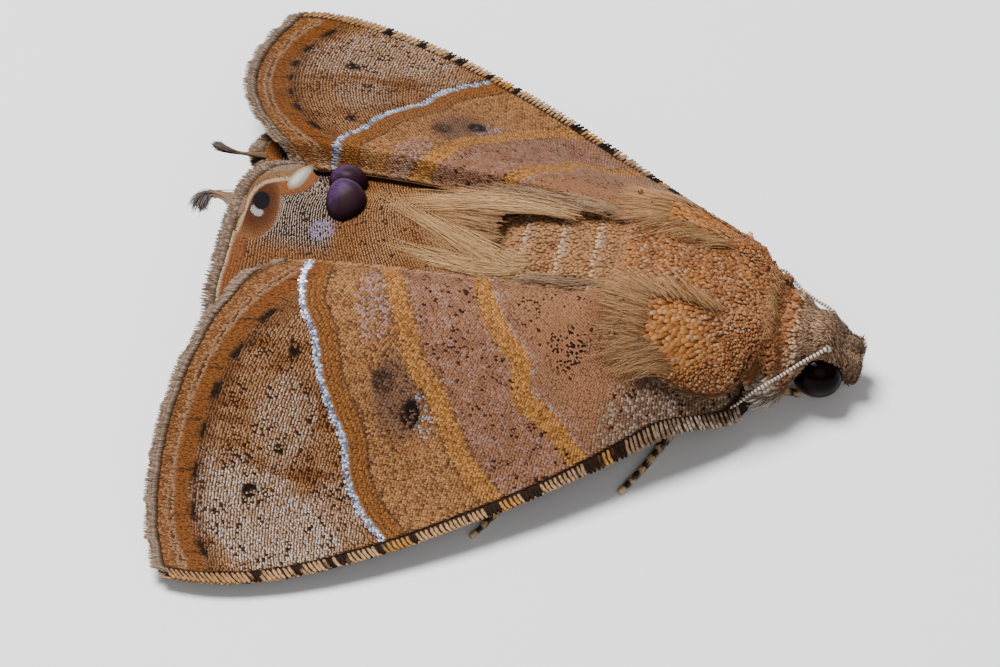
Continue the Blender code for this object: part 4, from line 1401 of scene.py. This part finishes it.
body_coat("round_scales", ROUND_SCALE, on_back, lambda p: pad_size(p, 0.070, 0.098),
          lambda p: pad_size(p, 0.23, 0.35), lambda p: pad_size(p, 0.086, 0.132), 0.052,
          scale_paint, scatter=0.12)
body_coat("abdomen_scales", ROUND_SCALE, on_belly, lambda p: np.full(len(p), 0.080), 0.20, 0.085, 0.05,
          scale_paint)
body_coat("fold_scales", ROUND_SCALE, in_fold, lambda p: np.full(len(p), 0.062), 0.15, 0.078, 0.095,
          scale_paint, scatter=0.2, dig=-0.02)
body_coat("head_scales", HAIR, on_head, lambda p: np.full(len(p), 0.036), 0.17, 0.026, 0.075,
          hair_paint, scatter=0.22)
body_coat("low_hair", HAIR, on_low, lambda p: np.full(len(p), 0.075), 0.42, 0.045, 0.14,
          hair_paint, scatter=0.25)

# %% [markdown]
# ## Long hairs
# The longest hairs grow in fans and pencils: from the rear rims of the shoulder pads over
# the wing roots, beside and behind the abdomen over the hindwings, and along the wings'
# inner edges, where they close the seams between wings and abdomen. Each is one thin
# ribbon, and all of a bed run between the same two lines.

# %% Strands
def strands(name, paths, width, fields, paint):
    """Ribbons along paths, given as an array of strand, station and coordinate."""
    count, steps, _ = paths.shape
    ahead = unit(np.gradient(paths, axis=1))
    right = unit(np.cross(ahead, (0.0, 0.0, 1.0)))
    t = np.linspace(0, 1, steps)
    half = width[:, None] / 2 * (1 - 0.8 * t ** 2)
    points = np.stack([paths - right * half[..., None], paths + right * half[..., None]], axis=2)
    per = steps * 2
    faces = (grid_faces(steps, 2)[None] + np.arange(count)[:, None, None] * per).reshape(-1, 4)
    given = {key: np.repeat(values, per, axis=0) for key, values in fields.items()}
    given["along"] = np.tile(np.repeat(t, 2), count)
    root = np.column_stack([(paths[:, 0, 0] + 1) / 19, (paths[:, 0, 1] + 5) / 10])
    local = np.column_stack([np.tile([-0.5, 0.5], steps), np.repeat(t, 2) - 0.5]) * TUFT_PATCH
    unwrap = np.repeat(root, per, axis=0) + np.tile(local, (count, 1))
    return make_piece(name, points.reshape(-1, 3), faces, given, unwrap, paint)


def combed(start, end, height, lift, bow, steps=8):
    """Paths from start to end over a height function, arched by lift and bent by bow."""
    t = np.linspace(0, 1, steps)[None, :, None]
    start, end = start[:, None], end[:, None]
    xy = mix(start, end, t)
    across = (end - start)[..., ::-1] * (-1, 1)
    xy = xy + across * (np.sin(math.pi * t) * bow[:, None, None])
    x, y = xy[..., 0], xy[..., 1]
    arch = np.sin(math.pi * np.minimum(t[..., 0] * 0.75 + 0.12, 1.0)) * lift[:, None]
    return np.stack([x, y, height(x, y) + arch], -1)


def hair_bed(name, count, start, end, height, lift, width, paint, bow, length=0.15):
    """Hairs between two lines: `start` and `end` are line ends ((x, y), (x, y))."""
    share = chance.random((count, 1))
    jitter = chance.normal(0, 1, (count, 4))
    a = mix(np.array(start[0]), np.array(start[1]), share) + jitter[:, :2] * 0.09
    b = mix(np.array(end[0]), np.array(end[1]), share) + jitter[:, 2:] * 0.12
    b = a + (b - a) * (1 + length * chance.uniform(-1, 1, (count, 1)))
    paths = combed(a, b, height, spread(count, lift, 0.7), chance.normal(0, bow, count))
    fields = {"place": paths[:, 0], "chance": chance.random(count)}
    return strands(name, paths, spread(count, width, 0.25), fields, paint)


def over_back(x, y):
    """The upper face of thorax and pads."""
    return roof(x, y) + 0.02


def over_belly(x, y):
    """The abdomen's top, or the wing beside it where that is higher."""
    belly = belly_top(x, y)
    return np.maximum(belly, right_top(x, y)) - 0.04


def hair_colour(name, pale, dark):
    """Each hair between dark and pale, and lighter towards its tip."""
    p = Paint(name, Roughness=0.5, Specular_IOR_Level=0.12)
    luck, along = p.field("chance"), p.field("along")
    # Darker towards each hair's root: painted shade where the bed lies over it.
    p.shaded(p.blend(dark, pale, luck.rising(0.1, 0.75)), 0.62 + 0.45 * along)
    return p


buff = hair_colour("buff_hair", (0.92, 0.57, 0.28), (0.58, 0.29, 0.11))
brown = hair_colour("brown_hair", (0.66, 0.36, 0.16), (0.20, 0.080, 0.028))
edge_brown = hair_colour("edge_hair", (0.54, 0.33, 0.18), (0.10, 0.042, 0.018))
PAD_BEDS = (                    # name, count, start, end, width and slot; y is given for the left side
    ("pad_fan_", 460, ((11.75, 1.25), (11.70, 2.70)), ((10.55, 0.95), (10.75, 2.85)), 0.0125, "tegula"),
    ("pad_fan_low_", 240, ((11.8, 2.45), (12.7, 2.80)), ((10.8, 2.90), (11.7, 3.10)), 0.0125, "tegula"),
    ("pad_seam_", 260, ((11.8, 1.30), (13.7, 1.08)), ((10.9, 0.82), (13.0, 0.76)), 0.013, "thorax"),
)
PENCILS = (                     # name, count, start, end, lift, width, paint and bow
    ("pencil_far", 170, ((8.3, 1.05), (9.6, 0.85)), ((4.9, 0.62), (6.2, 1.10)), 0.05, 0.014, buff, 0.02),
    ("pencil_middle", 190, ((7.6, -0.95), (8.5, -0.55)), ((4.5, 0.60), (6.6, -0.15)), 0.06, 0.012, buff,
     0.02),
    ("pencil_near", 120, ((7.4, -1.00), (8.5, -0.85)), ((4.6, -0.62), (6.2, -0.82)), 0.05, 0.013, buff,
     0.03),
    ("end_tuft", 170, ((7.45, -0.70), (7.45, 0.80)), ((5.5, -0.25), (5.5, 0.75)), 0.01, 0.015, brown,
     0.02),
)
BELLY_SIDES = (                 # name, count, start and end
    ("belly_side_left", 420, ((11.2, 1.18), (8.2, 1.20)), ((9.6, 1.34), (6.8, 1.34))),
    ("belly_side_right", 110, ((11.2, -1.08), (8.2, -1.10)), ((9.6, -1.24), (6.8, -1.2))),
)
for word, side in (("left", 1), ("right", -1)):
    for name, count, start, end, width, slot in PAD_BEDS:
        hair_bed(name + word, count, np.array(start) * (1, side), np.array(end) * (1, side), over_back,
                 0.02, width, brown, bow=0.02, length=0.35)
hair_bed("neck_crest", 240, ((14.96, -1.15), (14.96, 1.05)), ((14.80, -1.18), (14.80, 1.08)),
         over_back, 0.05, 0.014, brown, bow=0.02)
for name, count, start, end, lift, width, paint, bow in PENCILS:
    hair_bed(name, count, start, end, over_belly, lift, width, paint, bow=bow, length=0.2)
for name, count, start, end in BELLY_SIDES:
    hair_bed(name, count, start, end, over_belly, 0.02, 0.014, edge_brown, bow=0.03)


# %% Hair along the wings' inner edges
INNER_HAIRS = 1500


def inner_fringe_fields(wing, s, v):
    fields = forewing_fields(wing, s, v)
    return {"chance": fields["chance"], "place": fields["place"]}


for word, wing in forewings.items():
    s = np.sort(chance.uniform(0.30, 0.985, INNER_HAIRS))
    v = chance.uniform(0.950, 0.998, INNER_HAIRS)
    wing_coat("inner_fringe_" + word, wing, s, v, 0.26, 0.026, 0.05, inner_fringe_fields, edge_brown,
              turn=np.full(INNER_HAIRS, -0.45), kind=HAIR)

# %% [markdown]
# ## Eyes, antennae, legs and tails
# The eyes are smooth, glossy and nearly black. The antennae are threads of short joints,
# each with a white and a dark ring, and run from between the eyes back under the wings.
# The legs are banded cream and dark brown. Each hindwing ends in a curled tuft.

# %% Tubes
SIDES = 14


def tube(name, route, radius, fields, paint, hides):
    """A limb along a line of points, closed at both ends."""
    steps, sides = len(route), SIDES
    ahead = unit(np.gradient(route, axis=0))
    across = np.cross(ahead, (0.0, 0.0, 1.0))
    upright = np.linalg.norm(across, axis=1) < 0.25
    across[upright] = np.cross(ahead[upright], (0.0, 1.0, 0.0))
    across = unit(across)
    lift = np.cross(across, ahead)
    angle = np.linspace(0, 2 * math.pi, sides, endpoint=False)[None, :, None]
    ring = route[:, None] + (across[:, None] * np.cos(angle) + lift[:, None] * np.sin(angle)) \
        * radius[:, None, None]
    points = np.vstack([ring.reshape(-1, 3), route[:1], route[-1:]])
    count = steps * sides
    body = grid_faces(steps, sides, closed=True)[:, ::-1]
    around = np.arange(sides)
    following = (around + 1) % sides
    start = np.stack([np.full(sides, count), around, following], -1)
    end = np.stack([np.full(sides, count + 1), count - sides + following, count - sides + around], -1)
    run = run_along(route)
    given = {"run": np.concatenate([np.repeat(run, sides), [0, run[-1]]])}
    given.update({key: np.full(len(points), value) for key, value in fields.items()})
    u = np.repeat(np.linspace(0.02, 0.98, steps), sides)
    v = np.tile(0.05 + 0.9 * abs(np.linspace(-1, 1, sides, endpoint=False)), steps)
    unwrap = np.vstack([np.column_stack([u, v]), [[0.02, 0.5], [0.98, 0.5]]])
    return make_piece(name, points, body.tolist() + start.tolist() + end.tolist(), given, unwrap,
                      paint, hides)


print("limbs have", SIDES, "sides")


# %% Eyes
def eye_paint():
    """Nearly black, with a trace of red below."""
    p = Paint("eye_gloss", Roughness=0.13, Specular_IOR_Level=0.035)
    lower = p.parts(p.place())[2].rising(0.15, -0.45)
    p.feed("Base Color", p.layers((0.0045, 0.0015, 0.002), ((0.030, 0.006, 0.011), lower)))
    return p


FAR_EYE_SHIFT = (0.10, 0.12, 0.14)      # the head is held a little aslant
glossy = eye_paint()
for word, side in (("left", 1), ("right", -1)):
    rows, cols = 40, 72
    t, a = (g.ravel() for g in np.meshgrid(np.linspace(0.01, math.pi - 0.01, rows),
                                           np.linspace(0, 2 * math.pi, cols, endpoint=False),
                                           indexing="ij"))
    ball = np.column_stack([np.sin(t) * np.cos(a), np.cos(t) * side, -np.sin(t) * np.sin(a) * side])
    points = ball * EYE_SIZE + np.array(EYE_CENTRE) * (1, side, 1) - np.array(FAR_EYE_SHIFT) * (side > 0)
    out = 0.48 * t / math.pi
    unwrap = np.column_stack([0.5 + out * np.cos(a), 0.5 + out * np.sin(a)])
    make_piece("eye_ball_" + word, points, grid_faces(rows, cols, closed=True)[:, ::-1], {"place": ball},
               unwrap, glossy, ("eye_" + word,))


# %% Antennae
ANTENNA = ((16.50, 0.50, 2.02), (16.42, 0.66, 2.16), (16.2, 0.85, 2.12), (15.9, 1.07, 2.04),
           (15.42, 1.50, 1.92), (14.95, 2.00, 1.92), (14.57, 2.16, 1.62), (14.2, 2.35, 1.32),
           (13.5, 2.75, 1.15), (12.6, 3.30, 1.12), (11.6, 3.9, 1.05))
JOINT = 0.105


def ringed_paint():
    """A white ring on a brown ground in every joint."""
    p = Paint("antenna_rings", Roughness=0.55)
    ring = p.field("run").repeating(JOINT).band(0.5, 0.28, 0.10)
    p.feed("Base Color", p.layers((0.10, 0.055, 0.035), ((0.90, 0.74, 0.62), ring)))
    return p


rings = ringed_paint()
for word, side in (("left", 1), ("right", -1)):
    route = flowing(ANTENNA, 420) * (1, side, 1)
    run = run_along(route)
    radius = mix(0.047, 0.030, run / run[-1]) * (1 + 0.14 * np.sin(run / JOINT * 2 * math.pi - 1.6))
    radius = radius + 0.05 * np.exp(-(run / 0.22) ** 4)
    tube("antenna_thread_" + word, route, radius, {}, rings, ("antenna_" + word,))

# %% Legs
FOOT_Z = 0.19
LEG_ROUTES = {
    "foreleg": ((13.95, 0.55, 1.16), (13.95, 0.60, 0.45), (14.30, 0.62, 0.40), (14.80, 0.62, 0.36),
                (15.10, 0.62, 0.27), (15.30, 0.62, FOOT_Z), (15.80, 0.62, FOOT_Z)),
    "midleg": ((13.20, 0.80, 1.14), (13.20, 1.00, 0.38), (13.00, 1.50, 0.46), (12.80, 2.10, 0.42),
               (12.60, 2.80, 0.27), (12.10, 3.90, FOOT_Z), (11.60, 4.75, FOOT_Z)),
    "hindleg": ((11.95, 0.70, 1.14), (11.90, 0.90, 0.50), (11.20, 1.50, 0.60), (10.40, 2.50, 0.52),
                (9.70, 3.40, 0.30), (9.00, 5.30, FOOT_Z), (8.00, 6.90, FOOT_Z)),
}
LEFT_FEET = {"foreleg": (15.80, 0.62), "midleg": (13.62, 4.62), "hindleg": (4.90, 6.30)}
LEFT_SHARES = (0.25, 0.6, 1.0)
SOLID_RADIUS = 0.26
LEG_RADIUS = ((0.0, 0.26), (0.25, 0.27), (0.45, 0.19), (0.55, 0.15), (0.66, 0.12), (0.72, 0.095),
              (1.0, 0.075))
LEG_BAND = 0.42                # one light and one dark band, in millimetres
LEG_SCALES = 420               # on each leg, before those that would touch the floor are left out


def leg_paint():
    """Bands counted from the foot, fading into brown higher up."""
    p = Paint("leg_bands", Roughness=0.6)
    foot = p.field("whole") - p.field("run")
    part = foot.repeating(LEG_BAND)
    dark = part.rising(0.40, 0.48) * part.rising(1.0, 0.94)
    luck = p.field("chance")
    p.feed("Base Color", p.layers((0.80, 0.54, 0.28), ((0.055, 0.022, 0.008), dark),
                                  ((0.30, 0.17, 0.09), foot.rising(2.6, 3.2)),
                                  ((0.16, 0.08, 0.04), (luck > 0.6) * foot.rising(1.8, 2.4))))
    return p


bands = leg_paint()
for kind, spine in LEG_ROUTES.items():
    for word, side in (("left", 1), ("right", -1)):
        chain = np.array(spine)
        if word == "left":
            shift = np.array((*LEFT_FEET[kind], FOOT_Z)) - chain[-1]
            chain[-3:] += shift * np.array(LEFT_SHARES)[:, None]
        t = np.linspace(0, 1, 160)
        route = bezier(chain * (1, side, 1), t)
        radius = through(LEG_RADIUS, t)
        route[:, 2] -= (SOLID_RADIUS - radius) * smooth((t - 0.4) / 0.25) * 0.45
        route[:, 2] = np.maximum(route[:, 2], radius)
        run = run_along(route)
        foot = (run[-1] - run) / LEG_BAND
        radius = radius * (1 + 0.16 * np.sin(foot * 2 * math.pi) * (t > 0.6))
        tube(kind + "_limb_" + word, route, radius, {"whole": run[-1], "chance": 0.5}, bands,
             (kind + "_" + word,))
        pick = chance.integers(4, 152, LEG_SCALES)
        turn = chance.uniform(0, 2 * math.pi, LEG_SCALES)
        ahead = unit(np.gradient(route, axis=0))[pick]
        across = unit(np.cross(ahead, (0.0, 0.0, 1.0)))
        out = across * np.cos(turn)[:, None] + np.cross(across, ahead) * np.sin(turn)[:, None]
        root = route[pick] + out * radius[pick][:, None] * 0.9
        keep = root[:, 2] > 0.03
        n = int(keep.sum())
        fields = {"run": run[pick][keep], "whole": np.full(n, run[-1]), "chance": chance.random(n)}
        unwrap = np.column_stack([0.02 + 0.96 * t[pick], turn / 7])[keep]
        coat(kind + "_scales_" + word, HAIR, root[keep], ahead[keep], out[keep], spread(n, 0.15, 0.2),
             spread(n, 0.04, 0.2), spread(n, 0.035, 0.3), fields, unwrap, bands)


# %% Tails of the hindwings
TAIL_AT = {"right": 12 / 18, "left": 9 / 18}       # shares of the hindwing's margin


def tail(name, wing, v_at, waist, end, flare, count=420):
    """A bundle of hairs from the margin, drawn together at a waist and curled to a ragged end."""
    v = v_at + chance.normal(0, 0.020, count)
    start = wing.point(chance.uniform(0.962, 0.985, count), v, np.full(count, 0.02))
    off = chance.normal(0, 1, (count, 3))
    middle = np.array(waist) + off * flare * 0.45
    tip = np.array(end) + off * flare * (1.4, 1.0, 1.0) + chance.normal(0, 0.03, (count, 3))
    t = np.linspace(0, 1, 9)[None, :, None]
    a, b, c = start[:, None], middle[:, None], tip[:, None]
    paths = a * (1 - t) ** 2 + (2 * b - (a + c) / 2) * 2 * t * (1 - t) + c * t ** 2
    fields = {"place": paths[:, 0], "chance": chance.random(count)}
    return strands(name, paths, spread(count, 0.032, 0.3), fields, tail_paint)


def tail_colour():
    """Tan at the base and dark grey-brown at the curled end."""
    p = Paint("tail_hair", Roughness=0.6)
    luck, along = p.field("chance"), p.field("along")
    colour = p.layers((0.26, 0.125, 0.045), ((0.38, 0.23, 0.12), (luck > 0.7)),
                      ((0.045, 0.022, 0.012), along.rising(0.40, 0.65)),
                      ((0.20, 0.15, 0.11), (luck > 0.75) * 0.7))
    p.feed("Base Color", colour)
    return p


tail_paint = tail_colour()
tail("tail_right", hindwings["right"], TAIL_AT["right"], (-0.26, 0.30, 3.98), (-0.56, -0.08, 3.86), 0.085)
tail("tail_left", hindwings["left"], TAIL_AT["left"], (0.10, 1.80, 4.02), (-0.46, 1.90, 4.10), 0.045)

# %% [markdown]
# ## Floor, light and camera
# The moth sits on a pale plain wall, laid here as the floor. The light is soft and comes
# from high on the moth's far side, so shadows fall to its near side.

# %% Floor, light and camera
def plain(name, colour, roughness):
    p = Paint(name, Roughness=roughness)
    p.feed("Base Color", (*colour, 1.0))
    return p


floor_mesh = bpy.data.meshes.new("floor")
floor_mesh.from_pydata([(-0.6, -0.6, 0), (0.6, -0.6, 0), (0.6, 0.6, 0), (-0.6, 0.6, 0)], [], [(0, 1, 2, 3)])
floor_mesh.materials.append(plain("floor_paint", (0.80, 0.80, 0.81), 0.7).material)
floor = bpy.data.objects.new("floor", floor_mesh)
bpy.context.scene.collection.objects.link(floor)

world = bpy.data.worlds.new("studio")
bpy.context.scene.world = world
world.use_nodes = True
world.node_tree.nodes["Background"].inputs["Color"].default_value = (1.0, 0.99, 0.98, 1.0)
world.node_tree.nodes["Background"].inputs["Strength"].default_value = 0.24


def soft_light(name, direction, distance, size, watts):
    """A round area light that looks at the origin."""
    light = bpy.data.lights.new(name, "AREA")
    light.shape = "DISK"
    light.size, light.energy = size, watts
    obj = bpy.data.objects.new(name, light)
    way = Vector(direction).normalized()
    obj.location = way * distance
    obj.rotation_euler = way.to_track_quat("Z", "Y").to_euler()
    bpy.context.scene.collection.objects.link(obj)


soft_light("key_light", (-0.30, 0.10, 1.0), 0.16, 0.07, 0.61)
soft_light("fill_light", (0.3, -0.9, 0.8), 0.20, 0.16, 0.10)

CAMERA_AT = (0.0365309, -0.1639396, 0.2057080)
ELEVATION, AZIMUTH = math.radians(51.0), math.radians(-10.02394)
camera = bpy.data.cameras.new("camera")
camera.lens, camera.sensor_width = 355.68, 36.0
camera.clip_start, camera.clip_end = 0.01, 5.0
view = bpy.data.objects.new("camera", camera)
view.location = Vector(CAMERA_AT) - Vector((float(SHIFT[0]) * 0.001, 0, 0))
view.rotation_euler = (math.pi / 2 - ELEVATION, 0.0, -AZIMUTH)
bpy.context.scene.collection.objects.link(view)
bpy.context.scene.camera = view
print("camera at", [round(c, 4) for c in view.location])
